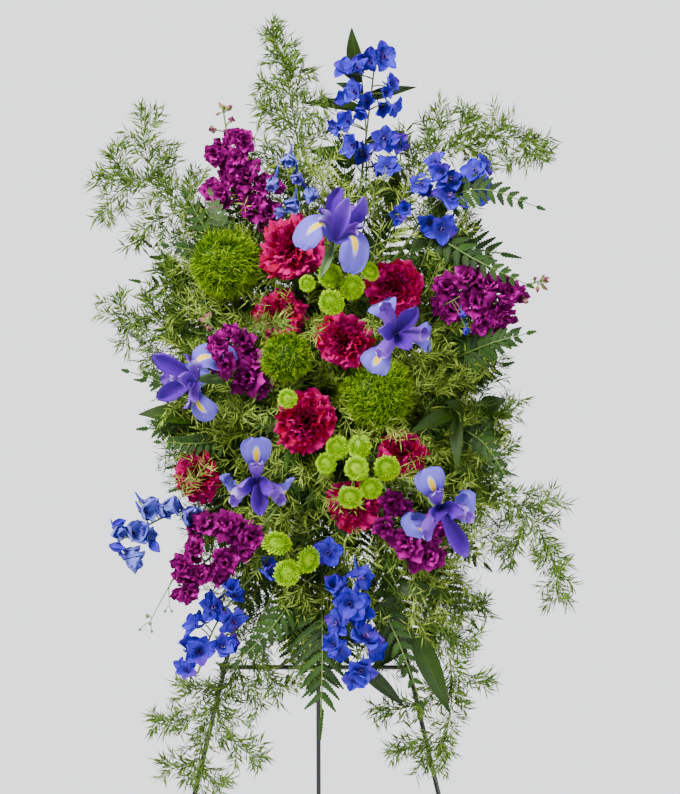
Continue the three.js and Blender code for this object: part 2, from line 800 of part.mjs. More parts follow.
const CRIMSON = new THREE.MeshStandardMaterial({ color: 0xc00048, roughness: 0.7 });
const PLUM = new THREE.MeshStandardMaterial({ color: 0x82007a, roughness: 0.7 });
const BLUE = new THREE.MeshStandardMaterial({ color: 0x3c4bd8, roughness: 0.6 });
const IRIS_BLUE = new THREE.MeshStandardMaterial({ color: 0x8586dc, roughness: 0.6 });
const LIME = new THREE.MeshStandardMaterial({ color: 0xa0c814, roughness: 0.7 });
const MOSS = new THREE.MeshStandardMaterial({ color: 0x78a010, roughness: 0.8 });
const FERN = new THREE.MeshStandardMaterial({ color: 0x2c4418, roughness: 0.5 });
const LEAF = new THREE.MeshStandardMaterial({ color: 0x33451c, roughness: 0.4 });
const NEEDLE = new THREE.MeshStandardMaterial({ color: 0x6e8f22, roughness: 0.7 });
const BLACK_PAINT = new THREE.MeshStandardMaterial({ color: 0x16181a, roughness: 0.4, metalness: 0.3 });
const GREEN_PLASTIC = new THREE.MeshStandardMaterial({ color: 0x1f4a2c, roughness: 0.5 });
const FOAM_GREEN = new THREE.MeshStandardMaterial({ color: 0x2f5c33, roughness: 0.9 });
const TIE_BLACK = new THREE.MeshStandardMaterial({ color: 0x111111, roughness: 0.5 });

const facingFront = (across = 0, up = 0) => unit(across, -1, up);

const carnations = [
  { at: [-29, 1255], depth: -250, radius: 38, facing: facingFront(-0.1, 0.25) },
  { at: [-46, 1175], depth: -236, radius: 31, facing: facingFront(-0.2, 0.1) },
  { at: [34, 1143], depth: -252, radius: 35, facing: facingFront(0.05, 0.0) },
  { at: [96, 1209], depth: -248, radius: 36, facing: facingFront(0.25, 0.2) },
  { at: [-12, 1046], depth: -266, radius: 39, facing: facingFront(-0.05, -0.1) },
  { at: [-143, 981], depth: -230, radius: 32, facing: facingFront(-0.45, -0.1) },
  { at: [47, 947], depth: -234, radius: 33, facing: facingFront(0.05, -0.25) },
  { at: [104, 1010], depth: -232, radius: 30, facing: facingFront(0.25, -0.1) },
].map((place, i) =>
  singleBloom(`carnation_${i + 1}`, CRIMSON, { ...place, head: carnationHead, seed: 101 + i }),
);

const greenTricks = [
  { at: [-108, 1237], depth: -226, radius: 43, facing: facingFront(-0.35, 0.15) },
  { at: [72, 1081], depth: -228, radius: 44, facing: facingFront(0.15, -0.05) },
  { at: [-36, 1124], depth: -270, radius: 30, facing: facingFront(-0.1, 0.0) },
].map((place, i) =>
  singleBloom(`green_trick_${i + 1}`, MOSS, { ...place, head: greenTrickHead, seed: 131 + i }),
);

const irises = [
  {
    at: [18, 1261],
    depth: -300,
    facing: unit(-0.05, -0.45, 0.9),
    away: unit(0, 1, 0),
    details: { spin: 200 * Math.PI / 180, droop: 1 },
  },
  {
    at: [96, 1152],
    depth: -304,
    facing: unit(0.05, -1, 0.1),
    details: { spin: 115 * Math.PI / 180, droop: 0 },
  },
  {
    at: [-140, 1099],
    depth: -268,
    facing: unit(-0.8, -0.6, 0.05),
    details: { spin: 300 * Math.PI / 180, droop: 0.35 },
  },
  {
    at: [-71, 974],
    depth: -288,
    facing: unit(0, -1, 0.05),
    details: { spin: 90 * Math.PI / 180, droop: 0 },
  },
  {
    at: [149, 950],
    depth: -296,
    facing: unit(0.25, -0.95, -0.2),
    details: { spin: 112 * Math.PI / 180, droop: 0.1 },
  },
].map((place, i) =>
  singleBloom(`iris_${i + 1}`, IRIS_BLUE, { ...place, radius: 48, head: irisHead, seed: 151 + i }),
);

const stockShapes = { radius: 17, head: stockFloret, stem: 3 };
const stocks = [
  {
    depth: -205,
    path: [[-53, 1265], [-79, 1325], [-103, 1379], [-110, 1413]],
    blooms: [
      [-124, 1397, 9], [-101, 1409, 9], [-122, 1367, 14], [-88, 1385, 14], [-96, 1363, 14],
      [-86, 1344, 19], [-113, 1317, 17], [-78, 1308, 18], [-62, 1333, 15], [-55, 1298, 16],
    ],
  },
  {
    depth: -220,
    path: [[139, 1178], [180, 1188], [227, 1200], [262, 1213]],
    blooms: [
      [156, 1208, 16], [181, 1220, 16], [208, 1213, 16], [234, 1203, 13], [163, 1179, 16],
      [192, 1190, 18], [220, 1185, 16], [202, 1165, 15], [229, 1171, 12], [252, 1191, 7],
      [263, 1218, 6],
    ],
  },
  {
    depth: -240,
    path: [[-62, 1087], [-84, 1118], [-106, 1142], [-124, 1161]],
    blooms: [
      [-83, 1101, 20], [-110, 1116, 15], [-71, 1123, 12], [-89, 1145, 14], [-114, 1141, 9],
      [-128, 1159, 8],
    ],
  },
  {
    depth: -238,
    path: [[-60, 926], [-101, 905], [-133, 878], [-154, 854]],
    blooms: [
      [-79, 907, 18], [-106, 923, 18], [-133, 926, 15], [-109, 878, 18], [-146, 897, 13],
      [-160, 873, 13], [-139, 864, 13], [-151, 842, 13],
    ],
  },
  {
    depth: -246,
    path: [[72, 979], [96, 943], [125, 914], [142, 895]],
    blooms: [[92, 948, 14], [82, 919, 13], [110, 901, 20], [145, 927, 15], [138, 885, 16]],
  },
].map((spike, i) => bloomSpike(`stock_${i + 1}`, PLUM, { ...stockShapes, ...spike, seed: 171 + i }));

const delphiniumShapes = { radius: 18, head: delphiniumFloret, stem: 2.6 };
const delphiniums = [
  {
    depth: -186,
    path: [[43, 1269], [54, 1337], [62, 1403], [71, 1478]],
    blooms: [
      [80, 1484, 18], [50, 1469, 17], [48, 1442, 16], [88, 1452, 13], [92, 1425, 15],
      [55, 1421, 14], [40, 1406, 16], [46, 1377, 18], [82, 1386, 17], [86, 1352, 15],
    ],
  },
  {
    depth: -222,
    path: [[-18, 1265], [-19, 1298], [-24, 1331], [-30, 1361]],
    blooms: [
      [-31, 1365, 12], [-49, 1338, 12], [-23, 1343, 11], [-11, 1325, 12], [-26, 1311, 12],
      [-37, 1298, 10, 6],
    ],
  },
  {
    depth: -200,
    path: [[103, 1253], [130, 1293], [163, 1320], [194, 1339]],
    blooms: [
      [152, 1346, 16], [191, 1347, 16], [160, 1316, 22], [202, 1320, 15], [126, 1332, 13],
      [108, 1302, 14], [151, 1278, 18],
    ],
  },
  {
    depth: -222,
    path: [[-122, 943], [-166, 938], [-204, 921], [-238, 902]],
    blooms: [
      [-156, 937, 14], [-181, 945, 12], [-206, 939, 13], [-221, 911, 15], [-239, 917, 10],
      [-239, 896, 9], [-226, 881, 13], [-194, 897, 9],
    ],
  },
  {
    depth: -226,
    path: [[-55, 887], [-91, 845], [-122, 799], [-139, 751]],
    blooms: [
      [-60, 865, 13], [-102, 845, 13], [-125, 823, 15], [-100, 807, 16], [-144, 801, 14],
      [-140, 771, 18], [-113, 776, 14], [-154, 747, 12],
    ],
  },
  {
    depth: -236,
    path: [[36, 919, -206], [34, 873, -230], [41, 818], [50, 770]],
    blooms: [
      [14, 890, 15], [20, 849, 15], [54, 860, 15], [41, 828, 20], [25, 806, 14],
      [58, 787, 20], [22, 779, 14], [55, 749, 17],
    ],
  },
].map((spike, i) =>
  bloomSpike(`delphinium_${i + 1}`, BLUE, { ...delphiniumShapes, ...spike, seed: 201 + i }),
);

const mumShapes = { radius: 15, head: mumHead, stem: 2, stalk: 1 };
const mums = [
  {
    depth: -250,
    path: [[35, 1171, -210], [30, 1193, -225], [26, 1209, -240]],
    blooms: [
      [17, 1221, 15, 20], [19, 1190, 15, 34], [43, 1208, 15, 24], [-10, 1212, 10, 16],
      [64, 1226, 12, 20],
    ],
  },
  {
    depth: -250,
    path: [[77, 989, -200], [70, 997, -222], [58, 1003, -240]],
    blooms: [
      [26, 1015, 14, 20], [53, 1016, 14, 26], [49, 990, 14, 46], [85, 991, 15, 30],
      [66, 967, 13, 40], [13, 996, 13, 18], [41, 956, 14, 50],
    ],
  },
  {
    depth: -246,
    path: [[-19, 881, -215], [-29, 881, -232], [-36, 881, -244]],
    blooms: [[-47, 899, 17, 12], [-35, 865, 16, 16], [-10, 881, 16, 12]],
  },
  {
    depth: -300,
    path: [[-29, 1094, -256], [-32, 1082, -284]],
    blooms: [[-34, 1074, 11, 14]],
  },
].map((spike, i) =>
  bloomSpike(`chrysanthemum_${i + 1}`, LIME, { ...mumShapes, ...spike, seed: 231 + i }),
);

const fronds = [
  {
    name: "fern_upper_left",
    depth: -162,
    path: [[-72, 1238], [-113, 1265], [-151, 1286]],
    pairs: 5,
    reach: 52,
    width: 10,
  },
  {
    name: "fern_left",
    depth: -176,
    path: [[-94, 1185], [-154, 1202], [-209, 1214]],
    pairs: 4,
    reach: 46,
    width: 9,
  },
  {
    name: "fern_lower_left",
    depth: -190,
    path: [[-108, 1073], [-156, 1087], [-204, 1095]],
    pairs: 4,
    reach: 42,
    width: 9,
  },
  {
    name: "fern_upper_right",
    depth: -172,
    path: [[110, 1248], [163, 1257], [221, 1248]],
    pairs: 5,
    reach: 74,
    width: 13,
  },
  {
    name: "fern_right",
    depth: -184,
    path: [[149, 1147], [190, 1145], [226, 1140]],
    pairs: 4,
    reach: 48,
    width: 10,
  },
  {
    name: "fern_bottom",
    depth: -196,
    path: [[7, 818], [7, 765], [7, 703]],
    pairs: 5,
    reach: 60,
    width: 11,
  },
].map((frond) => fernFrond(frond.name, frond));

const leafyStems = [
  {
    name: "ruscus_top",
    depth: -168,
    path: [[55, 1269], [60, 1325], [60, 1397], [55, 1461]],
    leaves: [
      [[54, 1464], [43, 1519], 11],
      [[55, 1457], [24, 1472], 6],
      [[58, 1442], [24, 1453], 6],
      [[60, 1433], [120, 1448], 7],
      [[58, 1418], [-16, 1429], 8],
      [[60, 1385], [107, 1395], 7],
      [[58, 1361], [-8, 1370], 12],
      [[60, 1329], [101, 1317], 12],
    ],
  },
  {
    name: "ruscus_left",
    depth: -196,
    path: [[-86, 1034], [-122, 1044], [-144, 1051]],
    leaves: [
      [[-139, 1050], [-212, 1055], 14],
      [[-122, 1044], [-144, 1106], 10],
      [[-103, 1039], [-144, 1017], 9],
    ],
  },
  {
    name: "ruscus_right",
    depth: -206,
    path: [[149, 1063], [175, 1056], [204, 1061]],
    leaves: [
      [[163, 1058], [113, 1034, -266], 9],
      [[170, 1056], [170, 989, -240], 8],
      [[180, 1056], [156, 1070, -240], 9],
      [[197, 1059], [228, 1073, -230], 12],
      [[204, 1061], [211, 1025], 7],
    ],
  },
  {
    name: "ruscus_bottom",
    depth: -204,
    path: [[86, 873], [103, 833], [118, 792]],
    leaves: [
      [[96, 845], [151, 842], 10],
      [[106, 825], [67, 818], 12],
      [[113, 806], [77, 789], 11],
      [[115, 797], [85, 756], 8],
      [[115, 792], [62, 744], 8],
      [[118, 792], [160, 698], 13],
    ],
  },
].map((plant) => leafyStem(plant.name, plant));

const sprays = [
  {
    name: "asparagus_top",
    depth: -178,
    path: [[-7, 1281], [-19, 1361], [-30, 1433], [-38, 1481], [-58, 1517]],
    branches: [[-82, 1373], [-65, 1418], [19, 1399], [7, 1437], [-65, 1452], [-12, 1469], [-48, 1495]],
  },
  {
    name: "asparagus_upper_left",
    depth: -188,
    path: [[-108, 1257], [-156, 1305], [-204, 1332], [-252, 1346]],
    branches: [[-204, 1418], [-238, 1377], [-151, 1341], [-254, 1293], [-218, 1260], [-180, 1363]],
  },
  {
    name: "asparagus_upper_right",
    depth: -180,
    path: [[98, 1286], [125, 1346], [182, 1385], [245, 1387], [274, 1370]],
    branches: [[146, 1418], [180, 1423], [226, 1411], [106, 1387], [204, 1346], [245, 1361]],
  },
  {
    name: "asparagus_left",
    depth: -184,
    path: [[-86, 1147], [-139, 1161], [-192, 1171], [-240, 1169]],
    branches: [
      [-175, 1236], [-238, 1195], [-228, 1137], [-199, 1113], [-151, 1118], [-204, 1202],
      [-43, 1166, -296],
    ],
  },
  {
    name: "asparagus_right",
    depth: -188,
    path: [[149, 1017], [202, 977], [254, 933], [284, 883], [293, 830, -236]],
    branches: [[235, 1025], [254, 1082], [221, 1068], [283, 953], [223, 883], [269, 881], [185, 929]],
  },
  {
    name: "asparagus_bottom_right",
    depth: -194,
    path: [[106, 881], [144, 821], [163, 737], [154, 650]],
    branches: [[202, 828], [202, 732], [96, 650], [125, 638], [185, 785], [72, 698]],
  },
  {
    name: "asparagus_lower_left",
    depth: -204,
    path: [[-48, 849], [-84, 773], [-122, 696], [-151, 612]],
    branches: [[-194, 689], [-180, 631], [-65, 705], [-65, 638], [-113, 607], [-158, 729], [-38, 725]],
  },
].map((spray, i) => needleSpray(spray.name, { ...spray, seed: 301 + i }));

const plants = [
  ...carnations,
  ...greenTricks,
  ...irises,
  ...stocks,
  ...delphiniums,
  ...mums,
  ...fronds,
  ...leafyStems,
  ...sprays,
];

// The front frame leans back about the line of its feet. In it, z runs up the slope and y back.
const leaningFrame = new THREE.Group();
leaningFrame.position.y = FRONT_FOOT_Y;
leaningFrame.rotation.x = -LEAN;
leaningFrame.updateMatrixWorld(true);

const legOffset = (along) => (FOOT_SPREAD / 2) * (1 - along / APEX_ALONG);

function solidOf(geometry) {
  const bare = geometry.clone();
  for (const name of ["normal", "uv"]) bare.deleteAttribute(name);
  const merged = mergeVertices(bare, 1e-4);
  return new wasm.Manifold(
    new wasm.Mesh({
      numProp: 3,
      vertProperties: new Float32Array(merged.attributes.position.array),
      triVerts: new Uint32Array(merged.index.array),
    }),
  );
}

function geometryOf(solid) {
  const { vertProperties, triVerts } = solid.getMesh();
  const geometry = new THREE.BufferGeometry();
  geometry.setAttribute("position", new THREE.BufferAttribute(vertProperties, 3));
  geometry.setIndex(new THREE.BufferAttribute(triVerts, 1));
  geometry.computeVertexNormals();
  return geometry;
}

function box(from, to) {
  const size = to.map((value, i) => value - from[i]);
  const middle = to.map((value, i) => (value + from[i]) / 2);
  return new THREE.BoxGeometry(...size).translate(...middle);
}

function mesh(name, geometry, material) {
  const made = new THREE.Mesh(geometry, material);
  made.name = name;
  return made;
}

// A bent rod through points, mitred at its bends. Each end is cut along its own plane.
function rod(points, radius, { sides = 8, cuts = [] } = {}) {
  const surface = new Surface();
  const ways = points.slice(1).map((p, i) => p.clone().sub(points[i]).normalize());
  const straight = Math.abs(ways[0].dot(X)) < 0.9 ? X : UP;
  const across = ways.length > 1 ? ways[0].clone().cross(ways[1]).normalize() : straight;
  let loop;
  points.forEach((centre, k) => {
    const before = ways[Math.max(0, k - 1)];
    const after = ways[Math.min(ways.length - 1, k)];
    const normal =
      (k === 0 && cuts[0]) ||
      (k === points.length - 1 && cuts[1]) ||
      before.clone().add(after).normalize();
    const ring = surface.ring(centre, before, across, radius, sides);
    for (const index of ring) {
      const p = surface.points[index];
      const lift = centre.clone().sub(p).dot(normal) / before.dot(normal);
      p.addScaledVector(before, lift);
    }
    const next = k ? surface.matched(loop, ring) : ring;
    if (k) surface.walls(loop, next);
    else surface.base(ring);
    loop = next;
  });
  surface.lid(loop);
  return surface.geometry();
}

// The floor's own upward direction, as it is seen inside a group that leans by an angle.
const floorNormal = (angle) => v3(0, Math.sin(angle), Math.cos(angle));

function frontLegs() {
  return [-1, 1].map((side) => {
    const foot = v3((side * FOOT_SPREAD) / 2, 0, 0);
    const points = [foot, v3(side * legOffset(LEG_TOP_ALONG), 0, LEG_TOP_ALONG)];
    const geometry = rod(points, ROD_RADIUS, { cuts: [floorNormal(-LEAN), UP] });
    return mesh(side < 0 ? "easel_leg_left" : "easel_leg_right", geometry, BLACK_PAINT);
  });
}

const CROSSBAR_OVERHANG = { left: 6, right: 4 };

function crossbar() {
  const front = -(2 * ROD_RADIUS + FIT);
  const half = legOffset(CROSSBAR_ALONG);
  const points = [
    v3(-half - CROSSBAR_OVERHANG.left, front, CROSSBAR_ALONG),
    v3(half + CROSSBAR_OVERHANG.right, front, CROSSBAR_ALONG),
  ];
  return mesh("easel_crossbar", rod(points, ROD_RADIUS), BLACK_PAINT);
}

const HINGE_Y = 2 * ROD_RADIUS + FIT;
const HINGE_OVERHANG = 2;

function hingeBar() {
  const half = legOffset(HINGE_ALONG) + ROD_RADIUS + HINGE_OVERHANG;
  const points = [v3(-half, HINGE_Y, HINGE_ALONG), v3(half, HINGE_Y, HINGE_ALONG)];
  return mesh("easel_hinge_bar", rod(points, ROD_RADIUS, { sides: 12 }), BLACK_PAINT);
}

// The bar on top of the legs, with the hook that carries the flower holder.
const TOP_BAR = { radius: 3.5, half: 13, y: 1.2 };
const HOOK = { radius: 2.5, reach: 15, rise: 14, bend: 4 };
const TOP_BAR_ALONG = LEG_TOP_ALONG + TOP_BAR.radius + FIT;

function topHook() {
  const { radius, half, y } = TOP_BAR;
  const bar = rod([v3(-half, y, TOP_BAR_ALONG), v3(half, y, TOP_BAR_ALONG)], radius);
  const hook = rod(
    [
      v3(0, y, TOP_BAR_ALONG),
      v3(0, -HOOK.reach + HOOK.bend, TOP_BAR_ALONG),
      v3(0, -HOOK.reach, TOP_BAR_ALONG + HOOK.bend),
      v3(0, -HOOK.reach, TOP_BAR_ALONG + HOOK.rise),
    ],
    HOOK.radius,
  );
  return mesh("easel_top_hook", geometryOf(solidOf(bar).add(solidOf(hook))), BLACK_PAINT);
}

// A bent wire behind the back leg, which stops it where it stands open.
const STOP = { radius: 2.2, drop: 40, bend: 5 };

function legStop() {
  const apart = ROD_RADIUS + STOP.radius + FIT;
  const y = HINGE_Y + STOP.drop * Math.tan(OPEN_ANGLE) + apart * Math.cos(OPEN_ANGLE);
  const along = HINGE_ALONG - STOP.drop + apart * Math.sin(OPEN_ANGLE);
  const half = legOffset(along);
  const start = ROD_RADIUS + FIT;
  const points = [
    v3(-half, start, along),
    v3(-half, y - STOP.bend, along),
    v3(-half + STOP.bend, y, along),
    v3(half - STOP.bend, y, along),
    v3(half, y - STOP.bend, along),
    v3(half, start, along),
  ];
  return mesh("easel_leg_stop", rod(points, STOP.radius, { sides: 6 }), BLACK_PAINT);
}

// The back leg hangs by its eye from the hinge bar, in a group that turns about the bar.
const EYE_RING = { inner: ROD_RADIUS + 0.35, outer: 6.6, half: 3 };
const LEG_WELD = 4.2; // the leg starts this far under the middle of its eye

function backLeg() {
  const { inner, outer, half } = EYE_RING;
  const outline = [
    [inner, -half],
    [outer, -half],
    [outer, half],
    [inner, half],
    [inner, -half],
  ].map(([r, z]) => new THREE.Vector2(r, z));
  const eye = new THREE.LatheGeometry(outline, 12).rotateZ(Math.PI / 2);
  const tilt = OPEN_ANGLE - LEAN;
  const hingeHeight = HINGE_ALONG * Math.cos(LEAN) - HINGE_Y * Math.sin(LEAN);
  const points = [v3(0, 0, -LEG_WELD), v3(0, 0, -hingeHeight / Math.cos(tilt))];
  const leg = rod(points, ROD_RADIUS, { cuts: [null, floorNormal(tilt).negate()] });
  const group = new THREE.Group();
  group.position.set(0, HINGE_Y, HINGE_ALONG);
  group.rotation.x = OPEN_ANGLE;
  group.add(mesh("easel_back_leg", geometryOf(solidOf(eye).add(solidOf(leg))), BLACK_PAINT));
  return group;
}

// The flower holder, in the leaning frame: its back rests on the front of the legs.
const TRAY_BACK = -(ROD_RADIUS + FIT);
const TRAY_FRONT = TRAY_BACK - TRAY_THICKNESS;
const FOAM_BACK = TRAY_FRONT - FIT;
const FOAM_FRONT = FOAM_BACK - FOAM.depth;
const FOAM_LOW = FOAM_ALONG - FOAM.height / 2;
const FOAM_HIGH = FOAM_ALONG + FOAM.height / 2;
const EAR = { along: FOAM_LOW + 14, half: 5, overhang: 0.5 };
const TIE = { height: 4, thickness: 1.2, looseness: 1.3 };
const SLOT_CLEARANCE = { across: 0.4, along: 0.6 };

// The tie's inner opening goes round the leg and the tray's ear.
const tieInside = {
  inner: legOffset(EAR.along) - ROD_RADIUS - TIE.looseness,
  outer: legOffset(EAR.along) + ROD_RADIUS + TIE.looseness,
  back: ROD_RADIUS + FIT,
  front: TRAY_FRONT - FIT,
};

const LIP = { thickness: 2.5, reach: 12 };
const HANDLE = { half: 12, rise: 12, eye: 6 };
const SIDE_MARGIN = 3; // the tray and the grid reach this far past the sides of the foam

function cageTray() {
  const half = FOAM.width / 2;
  const lipFront = FOAM_BACK - LIP.reach;
  const [lowEdge, highEdge] = [FOAM_LOW - FIT, FOAM_HIGH + FIT];
  const [low, high] = [lowEdge - LIP.thickness, highEdge + LIP.thickness];
  const earHalf = tieInside.outer - EAR.overhang;
  const slotHalf = TIE.thickness / 2 + SLOT_CLEARANCE.across;
  const slotHeight = TIE.height / 2 + SLOT_CLEARANCE.along;
  const slotAcross = tieInside.inner - TIE.thickness / 2;
  const pieces = [
    box([-half - SIDE_MARGIN, TRAY_FRONT, low], [half + SIDE_MARGIN, TRAY_BACK, high]),
    box([-half, lipFront, low], [half, TRAY_BACK, lowEdge]),
    box([-half, lipFront, highEdge], [half, TRAY_BACK, high]),
    box([-HANDLE.half, TRAY_FRONT, FOAM_HIGH], [HANDLE.half, TRAY_BACK, TOP_BAR_ALONG + HANDLE.rise]),
    box([-earHalf, TRAY_FRONT, EAR.along - EAR.half], [earHalf, TRAY_BACK, EAR.along + EAR.half]),
  ];
  let tray = pieces.map(solidOf).reduce((sum, piece) => sum.add(piece));
  for (const side of [-1, 1]) {
    const middle = side * slotAcross;
    const slot = box(
      [middle - slotHalf, TRAY_FRONT - 1, EAR.along - slotHeight],
      [middle + slotHalf, TRAY_BACK + 1, EAR.along + slotHeight],
    );
    tray = tray.subtract(solidOf(slot));
  }
  const eyeFlat = HANDLE.eye * Math.cos(Math.PI / 8);
  const eye = new THREE.CylinderGeometry(HANDLE.eye, HANDLE.eye, 3 * TRAY_THICKNESS, 8)
    .rotateY(Math.PI / 8)
    .translate(0, (TRAY_FRONT + TRAY_BACK) / 2, TOP_BAR_ALONG + HOOK.radius + FIT - eyeFlat);
  return mesh("cage_tray", geometryOf(tray.subtract(solidOf(eye))), GREEN_PLASTIC);
}

// The lattice in front of the foam, with straps down its sides to the tray.
const GRID = { columns: 3, rows: 6, strapRows: [1, 3, 5] };

function cageGrid() {
  const half = FOAM.width / 2;
  const [pitchX, pitchZ] = [FOAM.width / GRID.columns, FOAM.height / GRID.rows];
  const front = FOAM_FRONT - FIT;
  let grid = solidOf(
    box([-half - SIDE_MARGIN, front - GRID_THICKNESS, FOAM_LOW], [half + SIDE_MARGIN, front, FOAM_HIGH]),
  );
  for (let column = 0; column < GRID.columns; column++)
    for (let row = 0; row < GRID.rows; row++) {
      const left = -half + column * pitchX + BAR_WIDTH / 2;
      const low = FOAM_LOW + row * pitchZ + BAR_WIDTH / 2;
      const cell = box(
        [left, front - GRID_THICKNESS - 1, low],
        [left + pitchX - BAR_WIDTH, front + 1, low + pitchZ - BAR_WIDTH],
      );
      grid = grid.subtract(solidOf(cell));
    }
  for (const side of [-1, 1])
    for (const row of GRID.strapRows) {
      const level = FOAM_LOW + row * pitchZ;
      const [near, far] = [side * (half + FIT), side * (half + SIDE_MARGIN)].sort((a, b) => a - b);
      const strap = box(
        [near, front - GRID_THICKNESS, level - BAR_WIDTH / 2],
        [far, TRAY_FRONT - FIT, level + BAR_WIDTH / 2],
      );
      grid = grid.add(solidOf(strap));
    }
  return mesh("cage_grid", geometryOf(grid), GREEN_PLASTIC);
}

function ties() {
  const { inner, outer, back, front } = tieInside;
  const { height, thickness } = TIE;
  return [-1, 1].map((side) => {
    const [left, right] = side < 0 ? [-outer, -inner] : [inner, outer];
    const [low, high] = [EAR.along - height / 2, EAR.along + height / 2];
    const whole = box(
      [left - thickness, front - thickness, low],
      [right + thickness, back + thickness, high],
    );
    const hole = box([left, front, low - 1], [right, back, high + 1]);
    const name = side < 0 ? "tie_left" : "tie_right";
    return mesh(name, geometryOf(solidOf(whole).subtract(solidOf(hole))), TIE_BLACK);
  });
}

const STEM_DEPTH = { front: 30, side: 16 }; // how far a stem goes into the foam
const SIDE_ROWS = [22, 42]; // how far the stems in the foam's sides stand from its back

// The places where a stem may stand in the foam, each with its mouth, the way out and its depth.
function sockets() {
  const found = [];
  const add = (x, y, z, outX, outY, outZ, depth) => {
    const mouth = leaningFrame.localToWorld(v3(x, y, z));
    const out = v3(outX, outY, outZ).transformDirection(leaningFrame.matrixWorld);
    found.push({ mouth, out, depth });
  };
  const columns = 2 * GRID.columns;
  const rows = 2 * GRID.rows;
  const acrossAt = (i) => -FOAM.width / 2 + ((i + 0.5) * FOAM.width) / columns;
  const alongAt = (k) => FOAM_LOW + ((k + 0.5) * FOAM.height) / rows;
  const sideDepths = SIDE_ROWS.map((value) => FOAM_BACK - value);
  for (let k = 0; k < rows; k++) {
    for (let i = 0; i < columns; i++) add(acrossAt(i), FOAM_FRONT, alongAt(k), 0, -1, 0, STEM_DEPTH.front);
    if (k > 0 && k < rows - 1)
      for (const y of sideDepths)
        for (const side of [-1, 1])
          add((side * FOAM.width) / 2, y, alongAt(k), side, 0, 0, STEM_DEPTH.side);
  }
  for (let i = 0; i < columns; i++)
    for (const y of sideDepths) {
      add(acrossAt(i), y, FOAM_HIGH, 0, 0, 1, STEM_DEPTH.side);
      add(acrossAt(i), y, FOAM_LOW, 0, 0, -1, STEM_DEPTH.side);
    }
  return found;
}

const LEAD = 12; // a stem leaves the foam straight for this far

// The way of a plant's stem from one socket, by way of a bend, to its first visible point.
function stemPoints(plant, socket, bend) {
  const lead = beyond(socket.mouth, socket.out, LEAD);
  const points = [beyond(socket.mouth, socket.out, -socket.depth), socket.mouth, lead];
  if (bend) points.push(lead.clone().lerp(plant.path[0], 0.5).add(bend));
  return [...points, ...plant.path];
}

const BENDS = [null];
for (const reach of [16, 32])
  for (const [x, y, z] of [
    [0, 1, 0],
    [1, 0, 0],
    [-1, 0, 0],
    [0, 0, 1],
    [0, 0, -1],
    [0, -1, 0],
    [1, 1, 0],
    [-1, 1, 0],
    [0, 1, 1],
    [0, 1, -1],
  ])
    BENDS.push(v3(x * reach, y * reach, z * reach));

// How far a stem would sink into what is taken, added up along its hidden stretch.
function crowding(room, plant, points) {
  const curve = new THREE.CatmullRomCurve3(points);
  const last = points.length - 1;
  const [low, high] = [1.4 / last, (last - plant.path.length + 1) / last];
  let total = 0;
  for (let t = low; t <= high + 0.001; t += 0.012)
    total += room.sunk(plant.name, curve.getPoint(t), plant.stem + 0.5);
  return total;
}

// Gives each plant the free socket and the bend that keep its stem clearest and shortest.
function plantAll(room) {
  const free = sockets();
  const used = [];
  for (const plant of plants) {
    const target = plant.path[0];
    const cost = ({ mouth, out }) => {
      const way = target.clone().sub(mouth);
      return way.length() * (1.6 - out.dot(way.clone().normalize()));
    };
    const nearest = [...free].sort((a, b) => cost(a) - cost(b)).slice(0, 8);
    let best = null;
    for (const socket of nearest)
      for (const bend of BENDS) {
        const points = stemPoints(plant, socket, bend);
        const score = crowding(room, plant, points) * 6 + cost(socket) * 0.2 + (bend ? 1 : 0);
        if (!best || score < best.score) best = { score, points, socket };
      }
    plant.points = best.points;
    used.push({ ...best.socket, radius: plant.stem, sides: plant.sides ?? 3 });
    free.splice(free.indexOf(best.socket), 1);
    const curve = new THREE.CatmullRomCurve3(best.points);
    for (const place of curve.getSpacedPoints(Math.ceil(curve.getLength() / 4)))
      room.take(plant.name, place, plant.stem);
  }
  return used;
}

function foamBlock(used) {
  const half = FOAM.width / 2;
  const block = box([-half, FOAM_FRONT, FOAM_LOW], [half, FOAM_BACK, FOAM_HIGH]);
  let foam = solidOf(block.applyMatrix4(leaningFrame.matrixWorld));
  for (const { mouth, out, depth, radius, sides } of used) {
    const hole = new Surface();
    const across = Math.abs(out.dot(X)) < 0.9 ? X : UP;
    const wide = radius + STEM_CLEARANCE / Math.cos(Math.PI / sides);
    const floor = hole.ring(beyond(mouth, out, -depth - FIT), out, across, wide, sides);
    const rim = hole.ring(beyond(mouth, out, 2), out, across, wide, sides);
    hole.base(floor);
    hole.walls(floor, rim);
    hole.lid(rim);
    foam = foam.subtract(solidOf(hole.geometry()));
  }
  return mesh("foam_block", geometryOf(foam), FOAM_GREEN);
}

const spray = new THREE.Group();
leaningFrame.add(...frontLegs(), crossbar(), hingeBar(), topHook(), legStop(), backLeg());
leaningFrame.add(cageTray(), cageGrid(), ...ties());
spray.add(leaningFrame);

const room = new Room();
for (const plant of plants)
  for (const [place, radius] of plant.claims) room.take(plant.name, place, radius);
spray.add(foamBlock(plantAll(room)));

const flora = new Map();
for (const plant of plants.filter(({ last }) => !last)) {
  const surface = new Surface();
  plant.build(surface, plant.points);
  flora.set(plant, surface);
}
const built = new Room();
for (const [plant, surface] of flora) built.takeSurface(plant.name, surface, 3);
for (const plant of plants.filter(({ last }) => last)) {
  const surface = new Surface();
  plant.build(surface, plant.points, built);
  built.takeSurface(plant.name, surface, 3);
  flora.set(plant, surface);
}
for (const [plant, surface] of flora) spray.add(mesh(plant.name, surface.geometry(), plant.colour));

export default spray;
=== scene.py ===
# Looks for a standing funeral spray: cut flowers and foliage in wet foam, on a folding wire easel.
# Metres, +Z up, the front faces -Y, and the origin is on the floor under the middle of the whole.
import math

import bpy
import numpy as np
from mathutils import Matrix


